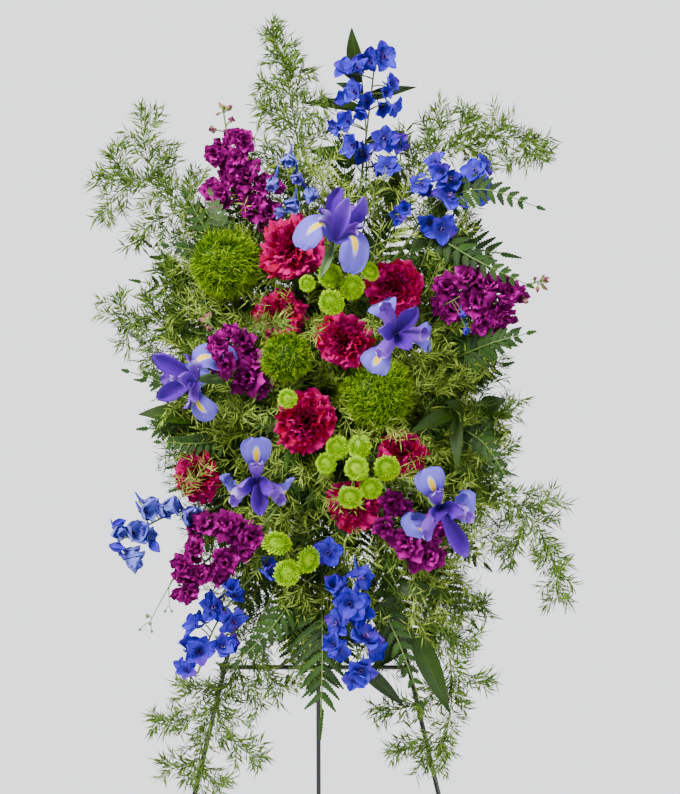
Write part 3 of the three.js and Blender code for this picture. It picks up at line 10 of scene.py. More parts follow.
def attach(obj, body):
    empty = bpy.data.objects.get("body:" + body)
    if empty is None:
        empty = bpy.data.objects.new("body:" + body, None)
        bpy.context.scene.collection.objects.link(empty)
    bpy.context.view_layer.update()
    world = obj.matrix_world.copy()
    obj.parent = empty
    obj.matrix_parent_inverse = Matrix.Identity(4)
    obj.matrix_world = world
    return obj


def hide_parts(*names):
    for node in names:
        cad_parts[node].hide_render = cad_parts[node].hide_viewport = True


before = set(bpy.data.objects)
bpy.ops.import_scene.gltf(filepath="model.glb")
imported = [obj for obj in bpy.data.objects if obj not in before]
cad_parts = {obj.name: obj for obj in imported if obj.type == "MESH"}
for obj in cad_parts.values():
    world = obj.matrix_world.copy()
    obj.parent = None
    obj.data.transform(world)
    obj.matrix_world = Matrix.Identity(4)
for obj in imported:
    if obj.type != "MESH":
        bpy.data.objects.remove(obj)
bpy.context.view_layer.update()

MM = 0.001
TURN = 2 * math.pi
GOLDEN_ANGLE = math.pi * (3 - math.sqrt(5))
X = np.array([1.0, 0.0, 0.0])
UP = np.array([0.0, 0.0, 1.0])
FRONT = np.array([0.0, -1.0, 0.0])

# The eye and the plane of the blooms, in millimetres, as the places below are given
EYE = np.array([29.0, -3460.0, 1076.0])
BLOOM_PLANE = -260.0


def seen(place, depth):
    """Where a thing seen at [across, height] against the bloom plane really is at a depth, in metres."""
    spread = (depth - EYE[1]) / (BLOOM_PLANE - EYE[1])
    across = EYE[0] + (place[0] - EYE[0]) * spread
    height = EYE[2] + (place[1] - EYE[2]) * spread
    return MM * np.array([across, depth, height])


def placed(place, depth):
    """A place whose third number, where it has one, is its own depth."""
    return seen(place, place[2] if len(place) > 2 else depth)


def unit(vector):
    vector = np.asarray(vector, float)
    length = np.linalg.norm(vector, axis=-1, keepdims=True)
    return vector / np.maximum(length, 1e-9)


def facing_front(across, up):
    return unit([across, -1.0, up])


# Shading

BUMP_STRENGTH = 0.6
GLOW_DEPTH = 0.003  # how far light goes into petals and leaves, in metres


def rgb(red, green, blue):
    """A colour given as 0 to 255 on a screen, made linear."""
    return tuple((value / 255) ** 2.2 for value in (red, green, blue)) + (1.0,)


class Signal:
    """A shader socket that can be added, multiplied and mixed like a number."""

    def __init__(self, tree, socket):
        self.tree = tree
        self.socket = socket

    def make(self, kind, inputs, output=0, **settings):
        """A new node of a kind, fed with sockets or values, as one of its outputs."""
        node = self.tree.nodes.new(kind)
        for key, value in settings.items():
            setattr(node, key, value)
        for key, value in inputs.items():
            if isinstance(value, Signal):
                self.tree.links.new(value.socket, node.inputs[key])
            else:
                node.inputs[key].default_value = value
        return Signal(self.tree, node.outputs[output])

    def parts(self, kind, name):
        """What a node that takes this apart gives, as signals."""
        outputs = self.make(kind, {name: self}).socket.node.outputs
        return [Signal(self.tree, output) for output in outputs]

    def maths(self, operation, first, second=0.0):
        return self.make("ShaderNodeMath", {0: first, 1: second}, operation=operation)

    def __add__(self, other):
        return self.maths("ADD", self, other)

    def __sub__(self, other):
        return self.maths("SUBTRACT", self, other)

    def __mul__(self, other):
        return self.maths("MULTIPLY", self, other)

    def __pow__(self, other):
        return self.maths("POWER", self, other)

    def __rsub__(self, other):
        return self.maths("SUBTRACT", other, self)

    __radd__ = __add__
    __rmul__ = __mul__

    def ramp(self, low, high):
        """0 below low and 1 above high, with a smooth rise between."""
        inputs = {"Value": self, "From Min": low, "From Max": high}
        return self.make("ShaderNodeMapRange", inputs, interpolation_type="SMOOTHSTEP")

    def mix(self, first, second):
        """The first colour where this is 0, and the second where it is 1. A plain colour is three numbers."""
        first, second = (value if isinstance(value, Signal) else rgb(*value) for value in (first, second))
        return self.make("ShaderNodeMix", {0: self, 6: first, 7: second}, output=2, data_type="RGBA")

    def noise(self, scale, detail=2.0):
        return self.make("ShaderNodeTexNoise", {"Vector": self, "Scale": scale, "Detail": detail})

    def wave(self, amount):
        """A sine of this, from 0 to 1, that many times over."""
        return self.maths("SINE", self * (amount * TURN)) * 0.5 + 0.5

    def bump(self, depth):
        """The bent normal of a surface with this for its height."""
        return self.make("ShaderNodeBump", {"Height": self, "Distance": depth, "Strength": BUMP_STRENGTH})


class Finish:
    """A material, with the form of its surface as signals: across, along and chance."""

    def __init__(self, name):
        self.material = bpy.data.materials.new(name)
        self.material.use_nodes = True
        tree = self.material.node_tree
        self.shader = tree.nodes["Principled BSDF"]
        form = tree.nodes.new("ShaderNodeAttribute")
        form.attribute_name = "form"
        form_colour = Signal(tree, form.outputs["Color"])
        self.across, self.along, self.chance = form_colour.parts("ShaderNodeSeparateColor", "Color")
        self.place = Signal(tree, tree.nodes.new("ShaderNodeTexCoord").outputs["Object"])

    def off_rib(self):
        """How far a point is from a leaf's rib: 0 on it and 1 at the edge."""
        return self.across.maths("ABSOLUTE", self.across * 2.0 - 1.0)

    def mark_distance(self, middle, half_length, half_width):
        """How far a point is from the middle of a long mark on the rib, with 1 on the mark's edge."""
        ahead = (self.along - middle) * (1 / half_length)
        beside = self.off_rib() * (1 / half_width)
        return (ahead * ahead + beside * beside) ** 0.5

    def fed(self, **values):
        """The finish, with inputs of its shader fed with signals or plain values."""
        for name, value in values.items():
            socket = self.shader.inputs[name.replace("_", " ")]
            if isinstance(value, Signal):
                self.material.node_tree.links.new(value.socket, socket)
            else:
                socket.default_value = value
        return self


def petal_finish(name, deep, middle, edge, roughness=0.6, veins=14, glow=0.04, shine=0.1):
    """Petals with fine veins, deep at their foot as painted shade and lighter at their edge, partly in their
    own colour and partly as painted highlight.
    """
    finish = Finish(name)
    blotches = finish.place.noise(90.0, 3.0)
    # The deep foot is painted shade where petals crowd in a bloom's middle; the lighter rim is partly the
    # petals' own colour and partly painted highlight.
    body = finish.along.ramp(0.1, 0.75).mix(deep, middle)
    rim = (finish.along + (blotches - 0.5) * 0.5 + (finish.chance - 0.5) * 0.4).ramp(0.7, 1.15)
    shade = (finish.chance * 0.6 + blotches * 0.7).ramp(0.2, 0.8)
    return finish.fed(
        Base_Color=(shade * 0.65 + 0.35).mix(deep, rim.mix(body, edge)),
        Normal=(finish.across.wave(veins) * 0.6 + blotches).bump(0.0003),
        Roughness=blotches * 0.25 + (roughness - 0.12),
        Subsurface_Weight=glow,
        Subsurface_Scale=GLOW_DEPTH,
        Specular_IOR_Level=shine,
    )


def leaf_finish(name, dark, light, back=None, roughness=0.42, veins=12):
    """Leaves with a rib, veins beside it, and patches of lighter and darker green."""
    finish = Finish(name)
    patches = finish.place.noise(40.0, 3.0)
    off_rib = finish.off_rib()
    rib = off_rib.ramp(0.0, 0.09)
    green = (patches * 0.7 + finish.chance * 0.5 - 0.1).mix(dark, light)
    if back:
        backfacing = finish.across.make("ShaderNodeNewGeometry", {}, output=6)
        green = backfacing.mix(green, back)
    return finish.fed(
        Base_Color=rib.mix(light, green),
        Normal=(off_rib.wave(veins) * 0.5 + rib).bump(0.0005),
        Roughness=patches * 0.2 + (roughness - 0.08),
        Subsurface_Weight=0.05,
        Subsurface_Scale=GLOW_DEPTH,
        Specular_IOR_Level=0.3,
    )


def stem_finish(name, dark, light):
    finish = Finish(name)
    streaks = finish.place.noise(120.0)
    return finish.fed(
        Base_Color=(streaks * 0.6 + finish.along * 0.3).mix(dark, light),
        Normal=streaks.bump(0.0004),
        Roughness=0.5,
        Subsurface_Weight=0.05,
        Subsurface_Scale=GLOW_DEPTH,
    )


# Mesh making


class Plant:
    """A piece made of grids of points: petals, leaves, needles and stems. Some stand in for a CAD node."""

    def __init__(self, name, seed, node=None):
        self.name = name
        self.node = node
        self.draw = np.random.default_rng(seed)
        self.points = []
        self.quads = []
        self.forms = []
        self.marks = []
        self.finishes = []
        self.count = 0

    def add(self, points, finish, closed=False):
        """Grids of copies x rows x columns points. A closed grid's last column meets its first."""
        points = np.asarray(points, float)
        if points.ndim == 3:
            points = points[None]
        copies, rows, columns, _ = points.shape
        index = self.count + np.arange(copies * rows * columns).reshape(copies, rows, columns)
        near = index if closed else index[:, :, :-1]
        far = np.roll(index, -1, axis=2) if closed else index[:, :, 1:]
        quads = np.stack([near[:, :-1], far[:, :-1], far[:, 1:], near[:, 1:]], axis=-1).reshape(-1, 4)
        form = np.zeros((copies, rows, columns, 4))
        form[..., 0] = np.linspace(0, 1, columns)
        form[..., 1] = np.linspace(0, 1, rows)[:, None]
        form[..., 2] = self.draw.random(copies)[:, None, None]
        if finish not in self.finishes:
            self.finishes.append(finish)
        self.points.append(points.reshape(-1, 3))
        self.quads.append(quads)
        self.forms.append(form.reshape(-1, 4))
        self.marks.append(np.full(len(quads), self.finishes.index(finish)))
        self.count += copies * rows * columns

    def stalk(self, points, count, thick, thin, finish=None, sides=5):
        """A round stem through points, of radii in millimetres at its foot and its end. Returns its curve."""
        curve = smooth(points, count)
        self.add(tubes(curve, np.linspace(thick, thin, count) * MM, sides), finish or STEM, closed=True)
        return curve

    def turned(self, centre, way, size, low, high, radii, sides, finish):
        """A round form about a line, of radii evenly from low to high along it, all as shares of a size."""
        line = centre + size * np.linspace(low, high, len(radii))[:, None] * way
        self.add(tubes(line, size * np.array(radii), sides), finish, closed=True)

    def stir(self, centre, size, amount):
        """Moves all the points so far a little, in slow waves, so that a bloom isn't regular."""
        points = np.concatenate(self.points)
        place = (points - centre) / size
        shift = np.zeros_like(points)
        for reach in (2.2, 4.1):
            for axis in range(3):
                way = unit(self.draw.normal(size=3))
                shift[:, axis] += np.sin(reach * (place @ way) + self.draw.uniform(0, TURN)) / reach
        far = np.linalg.norm(place, axis=1, keepdims=True).clip(0, 1)
        self.points = [points + amount * size * shift * far]

    def finished(self, slot):
        quads = np.concatenate(self.quads)
        mesh = bpy.data.meshes.new(self.name)
        mesh.vertices.add(self.count)
        mesh.vertices.foreach_set("co", np.concatenate(self.points).ravel())
        mesh.loops.add(4 * len(quads))
        mesh.loops.foreach_set("vertex_index", quads.ravel().astype(np.int32))
        mesh.polygons.add(len(quads))
        mesh.polygons.foreach_set("loop_start", np.arange(0, 4 * len(quads), 4, dtype=np.int32))
        mesh.polygons.foreach_set("material_index", np.concatenate(self.marks).astype(np.int32))
        mesh.polygons.foreach_set("use_smooth", np.ones(len(quads), bool))
        form = mesh.attributes.new("form", "FLOAT_COLOR", "POINT")
        form.data.foreach_set("color", np.concatenate(self.forms).ravel())
        mesh.update(calc_edges=True)
        mesh.validate()
        for finish in self.finishes:
            mesh.materials.append(finish.material)
        piece = bpy.data.objects.new(self.name, mesh)
        bpy.context.scene.collection.objects.link(piece)
        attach(piece, "stand")
        if self.node:
            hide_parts(self.node)


def fine(node, seed):
    """The finely modelled piece that takes a CAD node's place."""
    return Plant("fine_" + node, seed, node)


def smooth(points, count):
    """A smooth curve through points, as that many points."""
    points = np.asarray(points, float)
    padded = np.concatenate([[2 * points[0] - points[1]], points, [2 * points[-1] - points[-2]]])
    t = np.linspace(0, len(points) - 1 - 1e-6, count)
    i = t.astype(int)
    f = (t - i)[:, None]
    a, b, c, d = padded[i], padded[i + 1], padded[i + 2], padded[i + 3]
    return 0.5 * (2 * b + (c - a) * f + (2 * a - 5 * b + 4 * c - d) * f**2 + (3 * b - a - 3 * c + d) * f**3)


def at_shares(points, shares):
    """The places, or ways, at shares of the length of a row of points."""
    steps = np.linspace(0, 1, len(points))
    return np.array([np.interp(shares, steps, points[:, axis]) for axis in range(3)]).T


def tubes(paths, radii, sides=6):
    """Round tubes along paths of copies x rows points."""
    paths = np.asarray(paths, float)
    if paths.ndim == 2:
        paths = paths[None]
    along = unit(np.gradient(paths, axis=1))
    upright = np.abs(along.mean(axis=1)[:, 2]) > 0.8
    guide = np.where(upright[:, None], X, UP)[:, None, :]
    first = unit(np.cross(np.broadcast_to(guide, along.shape), along))
    second = np.cross(along, first)
    angle = np.linspace(0, TURN, sides, endpoint=False)[:, None]
    ring = first[:, :, None] * np.cos(angle) + second[:, :, None] * np.sin(angle)
    radii = np.broadcast_to(radii, paths.shape[:2])
    return paths[:, :, None] + radii[:, :, None, None] * ring


def column(values, count):
    return np.broadcast_to(np.asarray(values, float), count).reshape(-1, 1, 1)


def sheets(draw, count, rows, columns, length, width, outline, bend, cup=0.0, ruffle=0.0, waves=2.0,
           fringe=0.0, dip=0.0, droop=1.5, sweep=0.0):
    """Petals or leaves: x across, y along, and z towards the side that looks in or up.

    bend turns the rib between its foot and its tip, mostly near the tip where droop is high. cup lifts the
    sides, ruffle waves the far edge and fringe cuts it into teeth. dip draws its corners back, and sweep
    brings the sides forward.
    """
    u = np.linspace(-1, 1, columns)[None, None, :]
    v = np.linspace(0, 1, rows)[None, :, None]
    length, width, bend, waves = (column(value, count) for value in (length, width, bend, waves))
    angle = bend * v**droop
    middle = (angle[:, 1:] + angle[:, :-1]) / 2
    step = length / (rows - 1)
    start = np.zeros((count, 1, 1))
    along = np.concatenate([start, np.cumsum(np.cos(middle) * step, axis=1)], axis=1)
    rise = np.concatenate([start, np.cumsum(np.sin(middle) * step, axis=1)], axis=1)
    half = width * outline(v)
    phase = draw.uniform(0, TURN, (count, 1, 1))
    wave = np.sin(waves * math.pi * u + phase) + 0.5 * np.sin(2.3 * waves * math.pi * u + 2 * phase)
    lift = cup * half * u * u + ruffle * length * v**2 * wave
    jag = np.where(np.arange(columns) % 2, 1.0, -1.0)[None, None, :]
    reach = length * (fringe * v**4 * jag - dip * u * u * v**3) + sweep * np.abs(u) * half
    return np.stack(
        [
            np.broadcast_to(u * half, lift.shape),
            along + reach * np.cos(angle) - lift * np.sin(angle),
            rise + reach * np.sin(angle) + lift * np.cos(angle),
        ],
        axis=-1,
    )


def blades(draw, count, length, half_width):
    """Narrow blades, pointed at both ends, of one quad each: foot, side, side and tip."""
    points = np.zeros((count, 2, 2, 3))
    points[:, 0, 1, 0] = half_width
    points[:, 1, 0, 0] = -half_width
    points[:, 0, 1, 1] = points[:, 1, 0, 1] = 0.42 * length
    points[:, 1, 1, 1] = length
    points[:, 1, 1, 2] = 0.25 * length * draw.uniform(-1, 1, count)
    return points


def basis(facing):
    """Right and above, as one who looks at something that faces a way sees them."""
    guide = np.where(np.abs(facing[..., :1]) > 0.95, UP, X)
    right = unit(guide - facing * np.sum(guide * facing, axis=-1, keepdims=True))
    return right, np.cross(facing, right)


def set_in(points, origins, across, along, up):
    """Grids of points moved to origins and turned: x to the way across, y along and z up."""
    across, along, up, origins = (value[:, None, None] for value in (across, along, up, origins))
    return origins + points[..., :1] * across + points[..., 1:2] * along + points[..., 2:] * up


def raised(points, centre, facing, azimuth, tilt, out=0.0, forward=0.0):
    """Petals set round a bloom: tilt is the angle between a petal's foot and the bloom's axis."""
    count = len(points)
    facing = np.broadcast_to(facing, (count, 3))
    right, above = basis(facing)
    azimuth, tilt, out, forward = (column(value, count)[:, 0] for value in (azimuth, tilt, out, forward))
    outward = np.cos(azimuth) * right + np.sin(azimuth) * above
    across = np.sin(azimuth) * right - np.cos(azimuth) * above
    along = np.sin(tilt) * outward + np.cos(tilt) * facing
    inward = np.sin(tilt) * facing - np.cos(tilt) * outward
    origin = np.broadcast_to(centre, (count, 3)) + out * outward + forward * facing
    return set_in(points, origin, across, along, inward)


def laid(points, feet, along, face):
    """Leaves set on their feet, each along its own way, with its upper side towards a way."""
    along = unit(np.atleast_2d(along))
    face = np.broadcast_to(face, along.shape)
    top = unit(face - along * np.sum(face * along, axis=-1, keepdims=True))
    return set_in(points, np.atleast_2d(feet), np.cross(along, top), along, top)


# Outlines: half the width of a petal or leaf along its length, as a share of its greatest


def fan(v):
    """A narrow claw that opens into a fan."""
    t = np.clip((v - 0.15) / 0.6, 0, 1)
    return 0.13 + 0.87 * t * t * (3 - 2 * t)


def round_petal(v):
    """A claw that opens into a blade with a round end."""
    end = np.clip((v - 0.55) / 0.45, 0, 1)
    return fan(v) * np.sqrt(1 - 0.85 * end**2)


def oval(v):
    return np.sin(math.pi * np.clip(v, 0.02, 0.995) ** 0.8) ** 0.55


def spoon(v):
    return 0.45 + 0.55 * np.sin(math.pi * np.clip(v, 0, 1) ** 1.4 * 0.93) ** 1.2


def spear(v):
    return np.sin(math.pi * np.clip(v, 0.0, 1.0) ** 0.75) ** 0.9 * (1 - 0.25 * v) + 0.02


def sliver(v):
    return 1 - 0.8 * v**2


def toothed(rows):
    """A fern leaflet's outline, cut into teeth, with a tip on every other row."""

    def outline(v):
        tips = np.where(np.round(v * (rows - 1)) % 2, 1.0, 0.62)
        return tips * np.clip(1 - v, 0, 1) ** 0.6 * np.minimum(1, 0.5 + 4 * v)

    return outline


# Stems in the foam

# The block of foam in the leaning frame, and how deep the holes are on each of its sides, in millimetres
FOAM_LOW = np.array([-55.0, -86.6, 962.0])
FOAM_HIGH = np.array([55.0, -6.6, 1192.0])
HOLE_DEPTHS = {(0, -1, 0): 30.0, (1, 0, 0): 16.0, (-1, 0, 0): 16.0, (0, 0, 1): 16.0, (0, 0, -1): 16.0}
LEAN = math.radians(10)
FRONT_FOOT_Y = -266.0
LEAD = 12.0  # a stem leaves the foam straight for this far


def in_leaning_frame(points):
    """Points in metres, as millimetres in the frame that leans back with the easel."""
    moved = points / MM - [0, FRONT_FOOT_Y, 0]
    y = moved[:, 1] * math.cos(LEAN) - moved[:, 2] * math.sin(LEAN)
    z = moved[:, 1] * math.sin(LEAN) + moved[:, 2] * math.cos(LEAN)
    return np.stack([moved[:, 0], y, z], axis=1)


def from_leaning_frame(point):
    x, y, z = point
    moved = [x, y * math.cos(LEAN) + z * math.sin(LEAN), z * math.cos(LEAN) - y * math.sin(LEAN)]
    return MM * (np.array(moved) + [0, FRONT_FOOT_Y, 0])


def stem_start(node):
    """The foot of a stem in its hole, its mouth and its first free point, read off its CAD node."""
    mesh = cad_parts[node].data
    points = np.zeros(3 * len(mesh.vertices))
    mesh.vertices.foreach_get("co", points)
    local = np.unique(np.round(in_leaning_frame(points.reshape(-1, 3)), 1), axis=0)
    inside = np.all((local > FOAM_LOW + 1) & (local < FOAM_HIGH - 1), axis=1)
    foot = local[inside].mean(axis=0)

    def to_wall(way):
        way = np.array(way)
        return way @ (np.where(way > 0, FOAM_HIGH, FOAM_LOW) - foot)

    way = min(HOLE_DEPTHS, key=lambda side: abs(to_wall(side) - HOLE_DEPTHS[side]))
    mouth = foot + np.array(way) * to_wall(way)
    return [from_leaning_frame(point) for point in (foot, mouth, mouth + np.array(way) * LEAD)]


def add_stem(plant, path, thick, thin, finish=None):
    """A stem from its hole in the foam along a path. Returns the visible part of its curve."""
    points = stem_start(plant.node) + list(path)
    count = 8 * len(points)
    curve = plant.stalk(points, count, thick, thin, finish, 6)
    return curve[int(count * 2.2 / (len(points) - 1)):]


def nearest(curve, place):
    return int(np.argmin(np.linalg.norm(curve - place, axis=1)))


# Finishes

CRIMSON = petal_finish(
    "carnation petals", (96, 0, 23), (161, 0, 52), (198, 0, 114),
    roughness=0.8, veins=10, glow=0.02, shine=0.02,
)
PLUM = petal_finish(
    "stock petals", (54, 0, 42), (124, 0, 100), (180, 0, 152),
    roughness=0.75, veins=4, glow=0.02, shine=0.03,
)
PLUM_BUD = petal_finish("stock buds", (150, 160, 80), (150, 60, 110), (130, 0, 90))
LIME = petal_finish(
    "chrysanthemum petals", (100, 150, 0), (172, 226, 0), (200, 240, 0),
    roughness=0.7, veins=6, glow=0.02, shine=0.02,
)
TUFT = petal_finish("green tuft", (40, 74, 0), (116, 164, 0), (210, 250, 40), veins=3)
# The tuft core is coloured dark as painted shade that shows between the bracts.
SHADED_TUFT_CORE = leaf_finish("tuft core", (20, 42, 0), (50, 84, 0))
FERN = leaf_finish("fern leaflets", (12, 32, 0), (54, 90, 18), (96, 122, 76), roughness=0.45, veins=8)
RUSCUS = leaf_finish("broad leaves", (14, 30, 2), (52, 78, 20), (100, 118, 84), roughness=0.4, veins=9)
# A lit copy of the needles: their light colour is painted highlight for the plumes in front.
LIT_NEEDLE = leaf_finish("needles", (28, 60, 8), (216, 250, 96), roughness=0.5, veins=2)
SPRAY_NEEDLE = leaf_finish("spray needles", (30, 60, 12), (130, 166, 60), roughness=0.5, veins=2)
# A shaded copy of the needles: painted dark as shade for the greenery deep inside.
SHADED_NEEDLE = leaf_finish("dark needles", (10, 28, 3), (84, 124, 32), roughness=0.5, veins=2)
STEM = stem_finish("stems", (52, 84, 26), (120, 150, 66))
TWIG = stem_finish("twigs", (66, 92, 26), (132, 158, 62))
CALYX = stem_finish("calyxes", (70, 104, 54), (130, 160, 96))


def delphinium_finish(name, deep, middle, edge, flush):
    """Blue sepals: violet at random, lighter veins, and a pale middle streak."""
    finish = Finish(name)
    blotches = finish.place.noise(70.0)
    streak = (finish.across.wave(7) * 0.15 + blotches).ramp(0.3, 0.8)
    body = (finish.along + (blotches - 0.5) * 0.4).ramp(0.1, 0.8).mix(deep, middle)
    veined = (streak * 0.45).mix(body, edge)
    flushed = (finish.chance * 0.6 + finish.along * 0.3 + blotches * 0.7).ramp(0.95, 1.3)
    return finish.fed(
        Base_Color=flushed.mix(veined, flush),
        Normal=(finish.across.wave(7) * 0.2 + blotches).bump(0.0003),
        Roughness=blotches * 0.2 + 0.5,
        Subsurface_Weight=0.04,
        Subsurface_Scale=GLOW_DEPTH,
        Specular_IOR_Level=0.1,
    )


BLUE = delphinium_finish("delphinium sepals", (36, 0, 112), (50, 22, 196), (100, 90, 242), (98, 30, 168))
PALE_BLUE = delphinium_finish("pale sepals", (48, 44, 148), (92, 98, 212), (158, 172, 246), (112, 84, 196))
SPUR = petal_finish("delphinium spurs", (70, 62, 150), (50, 50, 180), (80, 90, 210))
BEE = petal_finish("delphinium bees", (60, 10, 100), (110, 40, 150), (240, 230, 245))


def iris_fall_finish():
    """Lilac-blue falls with a yellow mark, edged white, at the foot of the blade."""
    finish = Finish("iris falls")
    blotches = finish.place.noise(60.0)
    off_rib = finish.off_rib()
    body = (finish.along + (blotches - 0.5) * 0.2).ramp(0.3, 0.6).mix((84, 36, 170), (112, 98, 222))
    veins = (off_rib.wave(7) * 0.25).mix(body, (132, 130, 240))
    mark = finish.mark_distance(0.5, 0.17, 0.2)
    white = 1.0 - mark.ramp(0.9, 1.5)
    yellow = 1.0 - mark.ramp(0.85, 1.0)
    return finish.fed(
        Base_Color=yellow.mix((white * 0.8).mix(veins, (220, 218, 252)), (255, 214, 0)),
        Normal=(off_rib.wave(8) * 0.5 + blotches).bump(0.0004),
        Roughness=blotches * 0.2 + 0.5,
        Subsurface_Weight=0.05,
        Subsurface_Scale=0.004,
        Specular_IOR_Level=0.12,
    )


IRIS_FALL = iris_fall_finish()
IRIS_STANDARD = petal_finish("iris standards", (74, 28, 140), (96, 38, 180), (136, 86, 216), veins=6)
IRIS_STYLE = petal_finish("iris styles", (100, 52, 166), (124, 68, 198), (190, 176, 250), veins=6)
SPATHE = leaf_finish("iris spathe", (70, 104, 56), (120, 150, 96))

# Single blooms

IRIS_RADIUS = 48  # about how far a fall reaches from the bloom's middle, in millimetres


def bloom_stem(plant, centre, facing, radius, away=None, share=0.95, thickness=2.3):
    """The stem of a bloom, up to the back of its head."""
    back = centre - facing * share * radius
    way = -facing if away is None else np.array(away)
    path = [back + way * 0.5 * radius, back, back + facing * 0.1 * radius]
    return add_stem(plant, path, thickness, thickness)


def carnation(node, at, depth, radius, facing, seed):
    """Ruffled petals with cut edges, from upright ones in the middle to bent ones outside."""
    plant = fine(node, seed)
    draw = plant.draw
    centre, size = seen(at, depth), radius * MM
    bloom_stem(plant, centre, facing, size)
    throat = [0.1, 0.14, 0.16, 0.165, 0.17, 0.19, 0.22, 0.26]
    plant.turned(centre, facing, size, -0.92, -0.3, throat, 12, CALYX)
    petals = 62
    outer = 1 - np.arange(petals) / (petals - 1)
    length = size * (0.74 + 0.34 * outer) * draw.uniform(0.86, 1.08, petals)
    width = size * (0.3 + 0.28 * outer) * draw.uniform(0.8, 1.2, petals)
    bend = -(0.2 + 1.2 * outer) * draw.uniform(0.6, 1.3, petals)
    waves = draw.uniform(1.4, 3.0, petals)
    points = sheets(draw, petals, 8, 19, length, width, fan, bend, cup=-0.1, ruffle=0.13, waves=waves,
                    fringe=0.022, dip=0.14, droop=1.3)
    azimuth = np.arange(petals) * GOLDEN_ANGLE + draw.uniform(-0.5, 0.5, petals)
    tilt = 0.08 + 0.8 * outer**0.8 + draw.uniform(-0.16, 0.16, petals)
    plant.add(raised(points, centre, facing, azimuth, tilt, 0.02 * size, -0.36 * size), CRIMSON)
    plant.stir(centre, size, 0.14)
    plant.finished("petals_crimson")


def tufted_head(node, at, depth, radius, facing, seed):
    """A round head of fine curved bracts."""
    plant = fine(node, seed)
    draw = plant.draw
    centre, size = seen(at, depth), radius * MM
    bloom_stem(plant, centre, facing, size)
    v = np.linspace(-1, 1, 14)[:, None]
    angle = np.linspace(0, TURN, 20, endpoint=False)
    level = np.sqrt(1 - v * v)
    ball = np.stack([level * np.cos(angle), level * np.sin(angle), v + 0 * angle], axis=-1)
    # A core ball for the inner bracts, dark as painted shade between the outer ones.
    plant.add(centre + 0.8 * size * ball, SHADED_TUFT_CORE, closed=True)
    count = int(3.5 * radius**2)
    k = np.arange(count) + 0.5
    height = 1 - 2 * k / count
    around = np.stack([np.cos(k * GOLDEN_ANGLE), np.sin(k * GOLDEN_ANGLE)], axis=1)
    way = np.hstack([np.sqrt(1 - height**2)[:, None] * around, height[:, None]])
    way = unit(way + 0.05 * draw.normal(size=(count, 3)))
    lumps = 1 + 0.05 * np.sin(5 * way[:, 0] + seed) * np.cos(6 * way[:, 2]) + 0.03 * draw.normal(size=count)
    length = 0.32 * size * draw.uniform(0.7, 1.2, count)
    points = sheets(draw, count, 3, 2, length, 0.45 * MM, sliver, draw.uniform(-1.9, 1.9, count))
    foot = centre + way * (0.76 * size * lumps)[:, None]
    clump = 0.5 * np.sin(way @ draw.normal(size=(3, 3)) * 9 + draw.uniform(0, TURN, 3))
    lean = way + clump + 0.35 * draw.normal(size=(count, 3))
    plant.add(laid(points, foot, lean, unit(draw.normal(size=(count, 3)))), TUFT)
    plant.stir(centre, size, 0.08)
    plant.finished("tufts_green")


def blend(flat, drooped, droop):
    return np.array(flat) + (np.array(drooped) - flat) * droop


def ribbed(centre, facing, angle, outs, forwards, widths, size, rows, columns, channel, ruffle, draw, lean):
    """An iris petal along a rib given by its places out from and in front of the bloom's middle."""
    right, above = basis(facing)
    outward = math.cos(angle) * right + math.sin(angle) * above
    rib = [centre + size * (out * outward + ahead * facing) for out, ahead in zip(outs, forwards)]
    rib = smooth(rib, rows)
    half = np.interp(np.linspace(0, 1, rows), np.linspace(0, 1, len(widths)), widths)[:, None] * size
    along = unit(np.gradient(rib, axis=0))
    face = unit(facing + lean * (outward + 1.2 * FRONT))
    top = unit(face - along * np.sum(face * along, axis=1, keepdims=True))
    across = np.cross(along, top)
    u = np.linspace(-1, 1, columns)
    v = np.linspace(0, 1, rows)[:, None]
    wave = ruffle * size * v * np.sin(2.4 * math.pi * u + draw.uniform(0, TURN)) * np.abs(u)
    lift = channel * half * u * u + wave
    return rib[:, None] + across[:, None] * (half * u)[..., None] + top[:, None] * lift[..., None]


